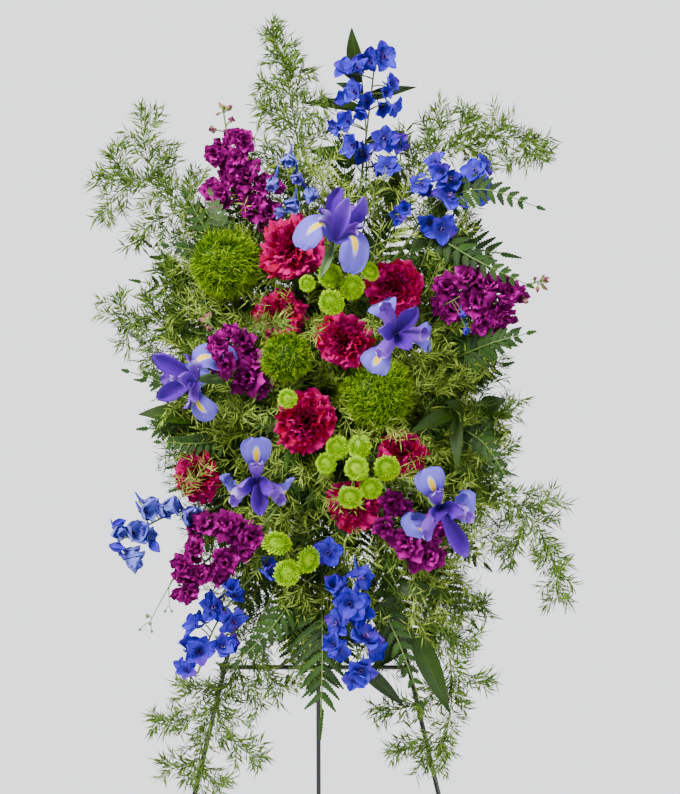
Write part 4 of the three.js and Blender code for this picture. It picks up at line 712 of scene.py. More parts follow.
def iris(node, at, depth, facing, spin, droop, bent, reached, away, seed):
    """Three falls, each under a style arm with a cleft crest, and three standards between them.

    Each fall is bent back by its own amount, and each standard reaches out by its own. The stem comes
    straight from behind, or from away.
    """
    plant = fine(node, seed)
    draw = plant.draw
    centre, size = seen(at, depth), IRIS_RADIUS * MM
    curve = bloom_stem(plant, centre, facing, size, away, 0.5, 2.6)
    sheath_way = unit(curve[-1] - curve[-8])
    sheath = centre - sheath_way * 0.95 * size
    for side in (1, -1):
        points = sheets(draw, 1, 10, 5, 1.1 * size, 0.15 * size, spear, 0.25, cup=1.1)
        beside = side * basis(sheath_way)[0]
        plant.add(laid(points, sheath + beside * 0.05 * size, sheath_way, -beside), SPATHE)
    fall_out = blend([0.02, 0.3, 0.62, 0.88, 1.06, 1.13], [0.02, 0.25, 0.47, 0.68, 0.8, 0.78], droop)
    fall_ahead = blend([0.0, 0.08, 0.14, 0.1, 0.0, -0.1], [0.0, 0.24, 0.42, 0.26, -0.1, -0.34], droop)
    fall_width = [0.07, 0.11, 0.16, 0.3, 0.38, 0.39, 0.32, 0.14]
    style_out = blend([0.02, 0.26, 0.48, 0.66], [0.02, 0.24, 0.42, 0.55], droop)
    style_ahead = blend([0.04, 0.22, 0.3, 0.36], [0.06, 0.42, 0.62, 0.7], droop)
    style_width = [0.06, 0.14, 0.18, 0.19, 0.19, 0.13]
    standard_out = blend([0.02, 0.28, 0.52, 0.7], [0.02, 0.17, 0.27, 0.32], droop)
    standard_ahead = blend([0.02, 0.34, 0.66, 0.9], [0.06, 0.45, 0.92, 1.36], droop)
    standard_width = [0.04, 0.12, 0.19, 0.23, 0.2, 0.06]
    lean = 0.9 * droop
    for i in range(3):
        angle = math.radians(spin) + (i + 1) * TURN / 3
        outs = fall_out - bent[i] * np.array([0, 0, 0.02, 0.1, 0.26, 0.42])
        aheads = fall_ahead - bent[i] * np.array([0, 0, 0.02, 0.12, 0.38, 0.62])
        fall = ribbed(centre, facing, angle, outs, aheads, fall_width, size, 26, 13, -0.1, 0.05, draw, lean)
        plant.add(fall, IRIS_FALL)
        style = ribbed(centre, facing, angle, style_out, style_ahead, style_width, size, 14, 9, -0.75, 0.03,
                       draw, lean)
        plant.add(style, IRIS_STYLE)
        tip = style[-2, 4]
        way = unit(style[-1, 4] - style[-4, 4])
        lobes = sheets(draw, 2, 7, 7, 0.26 * size, 0.13 * size, oval, 1.4, ruffle=0.08, fringe=0.05)
        sideways = 0.55 * unit(np.cross(way, facing))
        plant.add(laid(lobes, tip, [way + sideways, way - sideways], facing), IRIS_STYLE)
        turn = angle - TURN / 6 + draw.uniform(-0.2, 0.2)
        outs = standard_out * reached[i]
        standard = ribbed(centre, facing, turn, outs, standard_ahead, standard_width, size, 18, 9, 0.6, 0.09,
                          draw, 0.4)
        plant.add(standard, IRIS_STANDARD)
    plant.finished("petals_iris")


# Florets on spikes


def stock_floret(plant, centre, facing, size):
    """A double floret: outer petals that lie open round ruffled inner ones."""
    draw = plant.draw
    for count, length, width, tilt, bend, ahead in (
        (6, 1.04, 0.5, 0.95, -0.8, -0.3),
        (6, 0.86, 0.44, 0.55, -0.6, -0.24),
        (5, 0.66, 0.34, 0.25, -0.9, -0.16),
    ):
        azimuth = np.arange(count) * TURN / count + draw.uniform(0, TURN) + draw.uniform(-0.3, 0.3, count)
        lengths = size * length * draw.uniform(0.75, 1.15, count)
        bends = bend * draw.uniform(0.6, 1.4, count)
        waves = draw.uniform(1.2, 2.2, count)
        points = sheets(draw, count, 6, 8, lengths, size * width, round_petal, bends, cup=-0.2, ruffle=0.1,
                        waves=waves, dip=0.2)
        tilts = tilt + draw.uniform(-0.3, 0.3, count)
        plant.add(raised(points, centre, facing, azimuth, tilts, 0.02 * size, ahead * size), PLUM)
    plant.turned(centre, facing, size, -0.75, -0.15, [0.1, 0.16, 0.19, 0.2, 0.24], 6, CALYX)


def stock_bud(plant, centre, facing, size):
    points = sheets(plant.draw, 4, 6, 5, 1.5 * size, 0.42 * size, oval, 0.75, cup=0.7)
    azimuth = np.arange(4) * TURN / 4 + plant.draw.uniform(0, TURN)
    plant.add(raised(points, centre, facing, azimuth, 0.3, 0.1 * size, -0.7 * size), PLUM_BUD)


def delphinium_floret(plant, centre, facing, size, finish=None, closed=None):
    """Five broad sepals round a small bee, with a spur behind."""
    draw = plant.draw
    if closed is None:
        closed = draw.uniform(-0.05, 0.65)
    azimuth = draw.uniform(0, TURN) + np.arange(5) * TURN / 5 + draw.uniform(-0.08, 0.08, 5)
    length = size * draw.uniform(0.92, 1.08, 5)
    width = size * 0.46 * draw.uniform(0.82, 1.12, 5)
    bend = 0.9 * closed - 0.35 + draw.uniform(-0.4, 0.4, 5)
    points = sheets(draw, 5, 8, 9, length, width, oval, bend, cup=0.35 + 0.4 * closed, ruffle=0.09, waves=1.8)
    tilt = 1.3 - 0.85 * closed + draw.uniform(-0.2, 0.2, 5)
    plant.add(raised(points, centre, facing, azimuth, tilt, 0.03 * size, -0.12 * size), finish or BLUE)
    points = sheets(draw, 4, 4, 5, 0.27 * size, 0.12 * size, oval, 0.5, cup=0.6)
    azimuth = np.arange(4) * TURN / 4 + draw.uniform(0, TURN)
    plant.add(raised(points, centre, facing, azimuth, 0.45, 0.05 * size, -0.02 * size), BEE)
    back = unit(0.35 * UP - facing)
    spur = centre + size * np.array([-0.1 * facing, 0.45 * back, 0.8 * back + 0.25 * UP])
    plant.stalk(spur, 7, 0.16 * size / MM, 0.04 * size / MM, SPUR, 6)


def delphinium_bud(plant, centre, facing, size):
    points = sheets(plant.draw, 5, 6, 5, 1.3 * size, 0.4 * size, oval, 0.9, cup=0.8)
    plant.add(raised(points, centre, facing, np.arange(5) * TURN / 5, 0.35, 0.1 * size, -0.6 * size), BLUE)


def button_head(plant, centre, facing, size):
    """A button chrysanthemum: a dome of small spoon-shaped petals that stand out of it all round."""
    petals = 150
    outer = np.sqrt(1 - np.arange(petals) / petals)
    length = size * (0.22 + 0.2 * outer) * plant.draw.uniform(0.82, 1.18, petals)
    width = size * (0.05 + 0.035 * outer)
    points = sheets(plant.draw, petals, 5, 3, length, width, spoon, 0.9 - 1.7 * outer, cup=0.9)
    azimuth = np.arange(petals) * GOLDEN_ANGLE
    tilt = 1.5 * outer
    out, ahead = 0.68 * size * np.sin(tilt), 0.42 * size * np.cos(tilt)
    plant.add(raised(points, centre, facing, azimuth, tilt, out, ahead), LIME)
    plant.turned(centre, facing, size, -0.3, 0.42, [0.12, 0.4, 0.64, 0.68, 0.6, 0.42, 0.05], 12, LIME)


BUD_SIZE = 10  # the radius below which a bloom on a spike is a bud, in millimetres
FORWARD = 14  # how far a bloom stands before its stem, unless it says so itself


def spike(node, path, depth, blooms, head, bud, slot, seed, stem=2.2, growth=1.0, echo=0.0, sway=0.25,
          nod=0.0, lean=(0, 0, 0), tip_buds=0, **how):
    """Blooms on short stalks along one stem, and small buds round its tip.

    A bloom is given by its place, its radius and how far it stands forward. growth makes them all larger,
    sway turns each at random, nod turns them down, and lean turns them all one way. An echo is one more
    bloom beside and behind each.
    """
    plant = fine(node, seed)
    draw = plant.draw
    points = [placed(point, depth) for point in path]
    tip = points[-1] + unit(points[-1] - points[-2]) * 7 * MM
    curve = add_stem(plant, points + [tip], stem, 0.9)
    end_way = unit(curve[-1] - curve[-4])
    for k in range(tip_buds):
        place = curve[-1 - k]
        facing = unit(end_way + 0.8 * draw.normal(size=3))
        size = (3.6 + 0.5 * k) * MM
        plant.stalk([place, place + facing * size], 3, 0.7, 0.7)
        bud(plant, place + facing * 1.6 * size, facing, size)
    blooms = [(*bloom, FORWARD)[:4] for bloom in blooms]
    if echo:
        for across, height, radius, _ in list(blooms):
            turn = draw.uniform(0, TURN)
            if radius >= BUD_SIZE:
                place = across + echo * radius * math.cos(turn), height + echo * radius * math.sin(turn)
                blooms.append((*place, 0.85 * radius, 4))
    for across, height, radius, forward in blooms:
        radius *= growth * MM
        centre = seen([across, height], depth - forward)
        start = curve[nearest(curve, centre - UP * 0.4 * radius)]
        away = 0.75 * unit(centre - start)
        facing = unit(away + (1 - nod) * FRONT - 1.5 * nod * UP + lean + sway * draw.normal(size=3))
        end = centre - facing * 0.5 * radius
        middle = (start + end) / 2 + UP * 0.06 * np.linalg.norm(end - start)
        plant.stalk([start, middle, end], 6, 0.9, 0.9)
        if bud and radius < growth * BUD_SIZE * MM:
            bud(plant, centre, facing, radius)
        else:
            head(plant, centre, facing, radius, **how)
    plant.finished(slot)


# Foliage

RIB_POINTS = 60  # in the smooth curve of a frond's rib or a spray's main stem
RIB_END = RIB_POINTS - 1


def fern_leaflet(plant, foot, way, face, length, width):
    """A leaflet of a frond: a blade cut into pointed teeth that look forward."""
    rows = 2 * max(3, round(length / (4.4 * MM))) + 2
    points = sheets(plant.draw, 1, rows, 3, length, 0.62 * width, toothed(rows), -0.35, cup=-0.2, sweep=0.75)
    plant.add(laid(points, foot, way, face), FERN)


def frond(plant, rib, pairs, reach, width, face):
    """The leaflets of a fern on both sides of a rib, long at its foot and short at its tip."""
    rib = smooth(rib, RIB_POINTS)
    tangents = unit(np.gradient(rib, axis=0))
    for k in range(pairs):
        share = 0.04 + 0.9 * k / pairs
        i = int(share * RIB_END)
        for sign in (1, -1):
            across = sign * unit(np.cross(face, tangents[i]))
            ahead = tangents[i] * (0.75 + 0.35 * share)
            way = unit(across + ahead - face * 0.12 + 0.05 * plant.draw.normal(size=3))
            length = reach * MM * (1.02 - 0.74 * share)
            fern_leaflet(plant, rib[i], way, face, length, width * MM * (1.05 - 0.4 * share))
    fern_leaflet(plant, rib[-1], tangents[-1], face, 0.4 * reach * MM, 0.6 * width * MM)


def fern(node, path, depth, pairs, reach, width, seed):
    plant = fine(node, seed)
    rib = [placed(point, depth) for point in path]
    add_stem(plant, rib, 1.6, 0.7)
    frond(plant, rib, pairs, reach, width, unit([0, -1, 0.25]))
    plant.finished("leaves_fern")


def leafy_stem(node, path, depth, leaves, seed):
    """A stem with broad pointed leaves, each from its foot on the stem to its tip."""
    plant = fine(node, seed)
    draw = plant.draw
    curve = add_stem(plant, [placed(point, depth) for point in path], 1.7, 0.9)
    for foot, tip, half_width in leaves:
        start = curve[nearest(curve, placed(foot, depth))]
        way = placed(tip, depth - 10) - start
        length = np.linalg.norm(way)
        face = unit(unit([0, -1, 0.3]) + 0.25 * draw.normal(size=3))
        points = sheets(draw, 1, 16, 9, 1.03 * length, 1.15 * half_width * MM, spear, -0.55, cup=0.28,
                        ruffle=0.006, droop=1.0)
        lift = unit(way / length + 0.27 * unit(face - way * np.dot(face, way) / length**2))
        plant.add(laid(points, start, lift, face), RUSCUS)
    plant.finished("leaves_ruscus")


def needles_along(plant, paths, finish, gap=5.0, length=17.0, width=0.68, fan_count=3):
    """Needles in small fans at joints along thin twigs of copies x rows points."""
    draw = plant.draw
    spans = np.linalg.norm(np.diff(paths, axis=1), axis=2).sum(axis=1)
    feet = []
    ways = []
    for path, span in zip(paths, spans):
        joints = max(2, int(span / (gap * MM)))
        place = at_shares(path, (np.arange(joints) + draw.uniform(0.2, 0.8)) / joints)
        along = unit(path[-1] - path[0])
        for _ in range(fan_count):
            side = unit(draw.normal(size=(joints, 3)))
            side = unit(side - along * (side @ along)[:, None])
            feet.append(place)
            ways.append(side + along * draw.uniform(0.5, 1.3, (joints, 1)))
    feet = np.concatenate(feet)
    count = len(feet)
    points = blades(draw, count, length * MM * draw.uniform(0.55, 1.15, count), width * MM)
    face = unit(FRONT + 0.9 * draw.normal(size=(count, 3)))
    plant.add(laid(points, feet, np.concatenate(ways), face), finish)


def twigs(plant, curve, spacing, reach, finish, share_low, taper=0.55, flat=0.6, **how):
    """Side twigs on both sides of a branch, from a low share of it on, with needles along each."""
    draw = plant.draw
    span = np.linalg.norm(np.diff(curve, axis=0), axis=1).sum()
    count = max(2, int(span * (1 - share_low) / (spacing * MM)))
    share = share_low + (1 - share_low) * (np.arange(count) + 0.5) / count
    place = at_shares(curve, share)
    along = at_shares(unit(np.gradient(curve, axis=0)), share)
    sign = np.where(np.arange(count) % 2, 1.0, -1.0)[:, None]
    side = unit(sign * unit(np.cross(along, FRONT)) + flat * draw.normal(size=(count, 3)))
    ways = unit(side + along * draw.uniform(0.5, 1.1, (count, 1)))
    length = (reach * MM * (1 - taper * share) * draw.uniform(0.6, 1.15, count))[:, None]
    middle = place + ways * 0.5 * length + 0.05 * length * draw.normal(size=(count, 3))
    end = place + ways * length + 0.12 * length * (draw.normal(size=(count, 3)) + along)
    paths = np.stack([place, middle, (middle + end) / 2, end], axis=1)
    plant.add(tubes(paths, np.linspace(0.45, 0.25, 4) * MM, 3), TWIG, closed=True)
    needles_along(plant, paths, finish, **how)


def needle_spray(node, path, depth, branches, seed):
    """An asparagus fern spray: a main stem, its branches, and needled twigs along them all.

    A branch with its own depth comes forward between the blooms, with fewer and shorter twigs.
    """
    plant = fine(node, seed)
    points = [placed(point, depth) for point in path]
    add_stem(plant, points, 1.3, 0.6, TWIG)
    main = smooth(points, RIB_POINTS)
    length = np.linalg.norm(np.diff(main, axis=0), axis=1).sum()
    full = {"gap": 4.3, "length": 20.0, "width": 0.95, "fan_count": 4}
    twigs(plant, main, 6.0, 38, SPRAY_NEEDLE, 0.12, **full)
    needles_along(plant, main[None, 8:], SPRAY_NEEDLE, **full)
    for branch in branches:
        tip = placed(branch, depth)
        near = nearest(main, tip) / RIB_END
        back = min(0.3, 0.55 * np.linalg.norm(main[int(near * RIB_END)] - tip) / length)
        i = int(max(0.02, near - back) * RIB_END)
        tangent = unit(main[min(RIB_END, i + 1)] - main[max(0, i - 1)])
        bend = (main[i] + tip) / 2 + tangent * 0.12 * np.linalg.norm(tip - main[i])
        twig = plant.stalk([main[i], bend, tip], 16, 0.75, 0.4, TWIG)
        share = 0.5 if len(branch) > 2 else 0.9
        twigs(plant, twig, 5.4 / share, 38 * share, SPRAY_NEEDLE, 0.1, **full)
        needles_along(plant, twig[None], SPRAY_NEEDLE, **full)
    plant.finished("needles")


# Greenery that fills the space between and behind the blooms

HEART = np.array([11, 1049])  # the middle of the greenery, across and up, in millimetres
# How far the greenery spreads from there, every 30 degrees from the right round by the top
SPREAD = [214, 236, 318, 330, 320, 236, 204, 196, 262, 338, 316, 230, 214]
FOAM_MIDDLE = seen(HEART, -165)
TRIES = 60  # how many places are tried for each one that is wanted


def spread_place(turn, share):
    reach = np.interp(turn % TURN, np.linspace(0, TURN, 13), SPREAD)
    return HEART + share * reach * np.array([math.cos(turn), math.sin(turn)])


def within(draw, count, spacing):
    """Places all over the greenery, no two nearer than the spacing, each with its share of the spread."""
    places = []
    for _ in range(TRIES * count):
        share = draw.random() ** 0.6
        place = spread_place(draw.uniform(0, TURN), share)
        if len(places) < count and all(np.linalg.norm(place - other) > spacing for other, _ in places):
            places.append((place, share))
    return places


def plume(plant, start, end, finish, reach=28, spacing=8, **how):
    """A short needled branch from a start to an end, with twigs."""
    middle = (start + end) / 2 + 6 * MM * plant.draw.normal(size=3)
    branch = plant.stalk([start, middle, end], 14, 0.8, 0.35, TWIG, 4)
    twigs(plant, branch, spacing, reach, finish, 0.2, 0.35, 0.9, **how)
    needles_along(plant, branch[None, 3:], finish, **how)


def needle_mass(name, seed, count, spacing, front, back, length, finish):
    """Plumes all over the greenery, nearer to the eye in its middle."""
    plant = Plant(name, seed)
    draw = plant.draw
    for place, share in within(draw, count, spacing):
        end = seen(place, front + (back - front) * share**1.5 + draw.uniform(-12, 12))
        outward = unit(end - FOAM_MIDDLE + 0.1 * MM * draw.normal(size=3))
        way = unit(outward + 0.35 * draw.normal(size=3))
        plume(plant, end - way * length * MM, end, finish)
    plant.finished("needles")


def collar(name, seed, count):
    """Plumes that leave the sides of the foam behind the blooms, in needles painted dark as shade."""
    plant = Plant(name, seed)
    draw = plant.draw
    for k in range(count):
        turn = TURN * (k + draw.uniform(-0.4, 0.4)) / count
        start = seen(spread_place(turn, 0.2), -118)
        end = seen(spread_place(turn, draw.uniform(0.45, 0.75)), draw.uniform(-165, -110))
        plume(plant, start, end, SHADED_NEEDLE)
    plant.finished("needles")


def wisps(name, seed, places):
    """Single plumes that reach out between the blooms, from a foot to a tip, in needles painted light as
    highlight.
    """
    plant = Plant(name, seed)
    for foot, tip in places:
        plume(plant, placed(foot, -215), placed(tip, -275), LIT_NEEDLE, 22, 13, gap=7.0, width=0.65)
    plant.finished("needles")


def backing_fronds(name, seed, count, reach, depth, start_share, end_share):
    """Fern fronds that spread from the foam all round, behind the blooms."""
    plant = Plant(name, seed)
    draw = plant.draw
    for k in range(count):
        turn = TURN * (k + draw.uniform(-0.25, 0.25)) / count
        shares = np.array([start_share, (start_share + end_share) / 2, end_share]) * draw.uniform(0.9, 1.06)
        depths = depth + np.array([24, -8, 4]) + draw.uniform(-18, 18)
        rib = [seen(spread_place(turn, share), deep) for share, deep in zip(shares, depths)]
        plant.stalk(rib, 16, 1.4, 0.6)
        frond(plant, rib, 12, reach, 11, unit(FRONT + 0.3 * UP + 0.3 * draw.normal(size=3)))
    plant.finished("leaves_fern")


def front_fronds(name, seed, places):
    """Fronds that show between the blooms, by foot, middle and tip. Some show their pale backs."""
    plant = Plant(name, seed)
    for foot, middle, tip, reach, side in places:
        rib = [placed(foot, -196), placed(middle, -236), placed(tip, -250)]
        plant.stalk(rib, 16, 1.3, 0.6)
        frond(plant, rib, 9, reach, 11, unit(side * FRONT + 0.3 * UP))
    plant.finished("leaves_fern")


def sprigs(name, seed, places):
    """Thin stems that end in a few buds: pale green ones, or blue ones with a spur."""
    plant = Plant(name, seed)
    for path, depth, blue, buds in places:
        curve = plant.stalk([placed(point, depth) for point in path], 20, 0.9, 0.5)
        for across, height, radius in buds:
            centre = placed([across, height], depth - 4)
            start = curve[nearest(curve, centre)]
            way = unit(centre - start + MM * FRONT)
            plant.stalk([start, (start + centre) / 2 + 1.5 * MM * UP, centre], 6, 0.5, 0.5)
            if blue:
                delphinium_floret(plant, centre, unit(FRONT - UP + 0.4 * way), radius * MM, BLUE, 1.0)
            else:
                closed_bud(plant, centre, way, radius * MM)
    plant.finished("petals_blue")


def closed_bud(plant, centre, way, size):
    plant.turned(centre, way, size, -0.9, 1.2, [0.15, 0.6, 0.85, 0.9, 0.7, 0.4, 0.08], 7, CALYX)


def backing_leaves(name, seed, places, scattered_count):
    """Broad leaves low among the blooms, some at given places and more all round behind."""
    plant = Plant(name, seed)
    draw = plant.draw
    places = list(places)
    for place, share in within(draw, scattered_count, 24):
        out = unit(place - HEART + 30 * draw.normal(size=2))
        tip = place + out * draw.uniform(34, 52)
        depth = -206 + 36 * share
        if share < 0.86:
            places.append(([*place, depth], [*tip, depth - 12], draw.uniform(8, 12)))
    for foot, tip, half_width in places:
        start, end = placed(foot, -200), placed(tip, -212)
        way = end - start
        face = unit(FRONT + 0.3 * draw.normal(size=3))
        length = 1.04 * np.linalg.norm(way)
        points = sheets(draw, 1, 12, 7, length, half_width * MM, spear, -0.5, cup=0.3, droop=1.0)
        plant.add(laid(points, start, way, face), RUSCUS)
    plant.finished("leaves_ruscus")


# Places, in millimetres as they appear against the bloom plane: [across, height] with an own depth or size

# Round heads, each with its place, its depth, its radius and the way it faces
CARNATIONS = [
    ([-29, 1255], -250, 38, facing_front(-0.1, 0.25)),
    ([-46, 1175], -236, 31, facing_front(-0.2, 0.1)),
    ([34, 1143], -252, 35, facing_front(0.05, 0.0)),
    ([96, 1209], -248, 36, facing_front(0.25, 0.2)),
    ([-12, 1046], -266, 39, facing_front(-0.05, -0.1)),
    ([-143, 981], -230, 32, facing_front(-0.45, -0.1)),
    ([47, 947], -234, 33, facing_front(0.05, -0.25)),
    ([104, 1010], -232, 30, facing_front(0.25, -0.1)),
]
TUFTED_HEADS = [
    ([-108, 1237], -226, 43, facing_front(-0.35, 0.15)),
    ([72, 1081], -228, 44, facing_front(0.15, -0.05)),
    ([-36, 1124], -270, 30, facing_front(-0.1, 0.0)),
]

# Each with its place, its depth, the way it faces, its turn in degrees, how far it droops, how far each fall
# bends back, how far each standard reaches, and where its stem comes from
IRISES = [
    ([22, 1262], -300, unit([0.32, -0.45, 0.85]), 196, 1.0, (0.2, 0, 0), (1, 1, 1), [0, 1, 0]),
    ([96, 1152], -304, unit([0.05, -1, 0.1]), 115, 0.0, (0, 0.8, 0.7), (0.7, 0.8, 1), None),
    ([-142, 1097], -268, unit([-0.78, -0.6, -0.05]), 300, 0.3, (1.3, 1.0, 0), (1.1, 1.3, 0.9), None),
    ([-71, 977], -288, unit([0.05, -0.86, -0.5]), 90, 0.0, (1.0, 0.7, -0.4), (0.8, 0.7, 0.7), None),
    ([148, 944], -296, unit([0.25, -0.85, -0.42]), 108, 0.1, (1.0, 0.9, -0.2), (0.6, 1.6, 0.7), None),
]

# Each spike or bunch with the path of its stem, its depth and its blooms
STOCKS = [
    ([[-53, 1265], [-79, 1325], [-103, 1379], [-110, 1413]], -205, [
        [-124, 1397, 9], [-101, 1409, 9], [-122, 1367, 14], [-88, 1385, 14], [-96, 1363, 14],
        [-86, 1344, 19], [-113, 1317, 17], [-78, 1308, 18], [-62, 1333, 15], [-55, 1298, 16],
    ]),
    ([[139, 1178], [180, 1188], [227, 1200], [262, 1213]], -220, [
        [156, 1208, 16], [181, 1220, 16], [208, 1213, 16], [234, 1203, 13], [163, 1179, 16],
        [192, 1190, 18], [220, 1185, 16], [202, 1165, 15], [229, 1171, 12], [252, 1191, 7], [263, 1218, 6],
    ]),
    ([[-62, 1087], [-84, 1118], [-106, 1142], [-124, 1161]], -240, [
        [-83, 1101, 20], [-110, 1116, 15, 40], [-71, 1123, 12], [-89, 1145, 14], [-116, 1139, 12, 44],
        [-128, 1159, 8],
    ]),
    ([[-60, 926], [-101, 905], [-133, 878], [-154, 854]], -238, [
        [-79, 907, 18], [-106, 923, 18], [-133, 926, 15], [-109, 878, 18], [-146, 897, 13], [-160, 873, 13],
        [-139, 864, 13], [-151, 842, 13],
    ]),
    ([[72, 979], [96, 943], [125, 914], [142, 895]], -246, [
        [92, 948, 14], [82, 919, 13], [110, 901, 20], [145, 927, 15], [138, 885, 16],
    ]),
]
DELPHINIUMS = [
    ([[43, 1269], [54, 1337], [62, 1403], [71, 1478]], -186, [
        [80, 1484, 18], [50, 1469, 17], [48, 1442, 16], [88, 1452, 13], [92, 1425, 15], [55, 1421, 14],
        [40, 1406, 16], [46, 1377, 18], [82, 1386, 17], [86, 1352, 15],
    ]),
    ([[-18, 1265], [-19, 1298], [-24, 1331], [-30, 1361]], -222, [
        [-31, 1365, 12], [-49, 1338, 12], [-23, 1343, 11], [-11, 1325, 12], [-26, 1311, 12],
        [-37, 1298, 10, 6],
    ]),
    ([[103, 1253], [130, 1293], [163, 1320], [194, 1339]], -200, [
        [152, 1346, 16], [191, 1347, 16], [160, 1316, 22], [202, 1320, 15], [126, 1332, 13],
        [108, 1302, 14], [151, 1278, 18],
    ]),
    ([[-122, 943], [-166, 938], [-204, 921], [-238, 902]], -222, [
        [-156, 937, 14], [-181, 945, 12], [-206, 939, 13], [-221, 911, 15], [-239, 917, 10], [-239, 896, 9],
        [-226, 881, 13], [-194, 897, 9],
    ]),
    ([[-55, 887], [-91, 845], [-122, 799], [-139, 751]], -226, [
        [-60, 865, 13], [-102, 845, 13], [-125, 823, 15], [-100, 807, 16], [-144, 801, 14], [-140, 771, 18],
        [-113, 776, 14], [-154, 747, 12],
    ]),
    ([[36, 919, -206], [34, 873, -230], [41, 818], [50, 770]], -236, [
        [14, 890, 15], [20, 849, 15], [54, 860, 15], [41, 828, 20], [25, 806, 14], [58, 787, 20],
        [22, 779, 14], [55, 749, 17],
    ]),
]
CHRYSANTHEMUMS = [
    ([[35, 1171, -210], [30, 1193, -225], [26, 1209, -240]], -250, [
        [17, 1221, 15, 20], [19, 1190, 15, 34], [43, 1208, 15, 24], [-10, 1212, 10, 16], [64, 1226, 12, 20],
    ]),
    ([[77, 989, -200], [70, 997, -222], [58, 1003, -240]], -250, [
        [26, 1015, 14, 20], [53, 1016, 14, 26], [49, 990, 14, 46], [85, 991, 15, 30], [66, 967, 13, 40],
        [13, 996, 13, 18], [41, 956, 14, 50],
    ]),
    ([[-19, 881, -215], [-29, 881, -232], [-36, 881, -244]], -246, [
        [-47, 899, 17, 12], [-35, 865, 16, 16], [-10, 881, 16, 12],
    ]),
    ([[-29, 1094, -256], [-32, 1082, -284]], -300, [[-34, 1074, 11, 14]]),
]

# Each with its node, the path of its rib, its depth, its pairs of leaflets, their reach and their width
FRONDS = [
    ("fern_upper_left", [[-72, 1238], [-113, 1265], [-151, 1286]], -162, 10, 52, 10),
    ("fern_left", [[-94, 1185], [-154, 1202], [-209, 1214]], -176, 8, 46, 9),
    ("fern_lower_left", [[-108, 1073], [-156, 1087], [-204, 1095]], -190, 8, 42, 9),
    ("fern_upper_right", [[110, 1248], [163, 1257], [221, 1248]], -172, 10, 74, 13),
    ("fern_right", [[149, 1147], [190, 1145], [226, 1140]], -184, 8, 48, 10),
    ("fern_bottom", [[7, 818], [7, 765], [7, 703]], -196, 10, 60, 11),
]

# Each with its node, its path, its depth and its leaves, from foot to tip, with half their width
LEAFY_STEMS = [
    ("ruscus_top", [[55, 1269], [60, 1325], [60, 1397], [55, 1461]], -168, [
        ([54, 1464], [43, 1519], 11), ([55, 1457], [24, 1472], 6), ([58, 1442], [24, 1453], 6),
        ([60, 1433], [120, 1448], 7), ([58, 1418], [-16, 1429], 8), ([60, 1385], [107, 1395], 7),
        ([58, 1361], [-8, 1370], 12), ([60, 1329], [101, 1317], 12),
    ]),
    ("ruscus_left", [[-86, 1034], [-122, 1044], [-144, 1051]], -196, [
        ([-139, 1050], [-212, 1055], 14), ([-122, 1044], [-144, 1106], 10), ([-103, 1039], [-144, 1017], 9),
    ]),
    ("ruscus_right", [[149, 1063], [175, 1056], [204, 1061]], -206, [
        ([163, 1058], [113, 1034, -266], 9), ([170, 1056], [170, 989, -240], 8),
        ([180, 1056], [156, 1070, -240], 9), ([197, 1059], [228, 1073, -230], 12),
        ([204, 1061], [211, 1025], 7),
    ]),
    ("ruscus_bottom", [[86, 873], [103, 833], [118, 792]], -204, [
        ([96, 845], [151, 842], 10), ([106, 825], [67, 818], 12), ([113, 806], [77, 789], 11),
        ([115, 797], [85, 756], 8), ([115, 792], [62, 744], 8), ([118, 792], [160, 698], 13),
    ]),
]

# Each with its node, its path, its depth and the tips of its branches
SPRAYS = [
    ("asparagus_top", [[-7, 1281], [-19, 1361], [-30, 1433], [-38, 1481], [-58, 1517]], -178, [
        [-82, 1373], [-65, 1418], [19, 1399], [7, 1437], [-65, 1452], [-12, 1469], [-48, 1495],
    ]),
    ("asparagus_upper_left", [[-108, 1257], [-156, 1305], [-204, 1332], [-252, 1346]], -188, [
        [-204, 1418], [-238, 1377], [-151, 1341], [-254, 1293], [-218, 1260], [-180, 1363],
    ]),
    ("asparagus_upper_right", [[98, 1286], [125, 1346], [182, 1385], [245, 1387], [274, 1370]], -180, [
        [146, 1418], [180, 1423], [226, 1411], [106, 1387], [204, 1346], [245, 1361],
    ]),
    ("asparagus_left", [[-86, 1147], [-139, 1161], [-192, 1171], [-240, 1169]], -184, [
        [-175, 1236], [-238, 1195], [-228, 1137], [-199, 1113], [-151, 1118], [-204, 1202],
        [-43, 1166, -296],
    ]),
    ("asparagus_right", [[149, 1017], [202, 977], [254, 933], [284, 883], [293, 830, -236]], -188, [
        [230, 1017], [238, 1070], [211, 1063], [283, 953], [223, 883], [269, 881], [185, 929],
    ]),
    ("asparagus_bottom_right", [[106, 881], [144, 821], [163, 737], [154, 650]], -194, [
        [202, 828], [202, 732], [96, 650], [125, 638], [185, 785], [72, 698],
    ]),
    ("asparagus_lower_left", [[-48, 849], [-84, 773], [-122, 696], [-151, 612]], -204, [
        [-194, 689], [-180, 631], [-65, 705], [-65, 638], [-113, 607], [-158, 729], [-38, 725],
    ]),
]


# The flowers


def numbered(kind, seed, rows):
    """Each row of a kind of flower, with the name of its node before it and a seed of its own after it."""
    return [(f"{kind}_{i + 1}", row, seed + i) for i, row in enumerate(rows)]


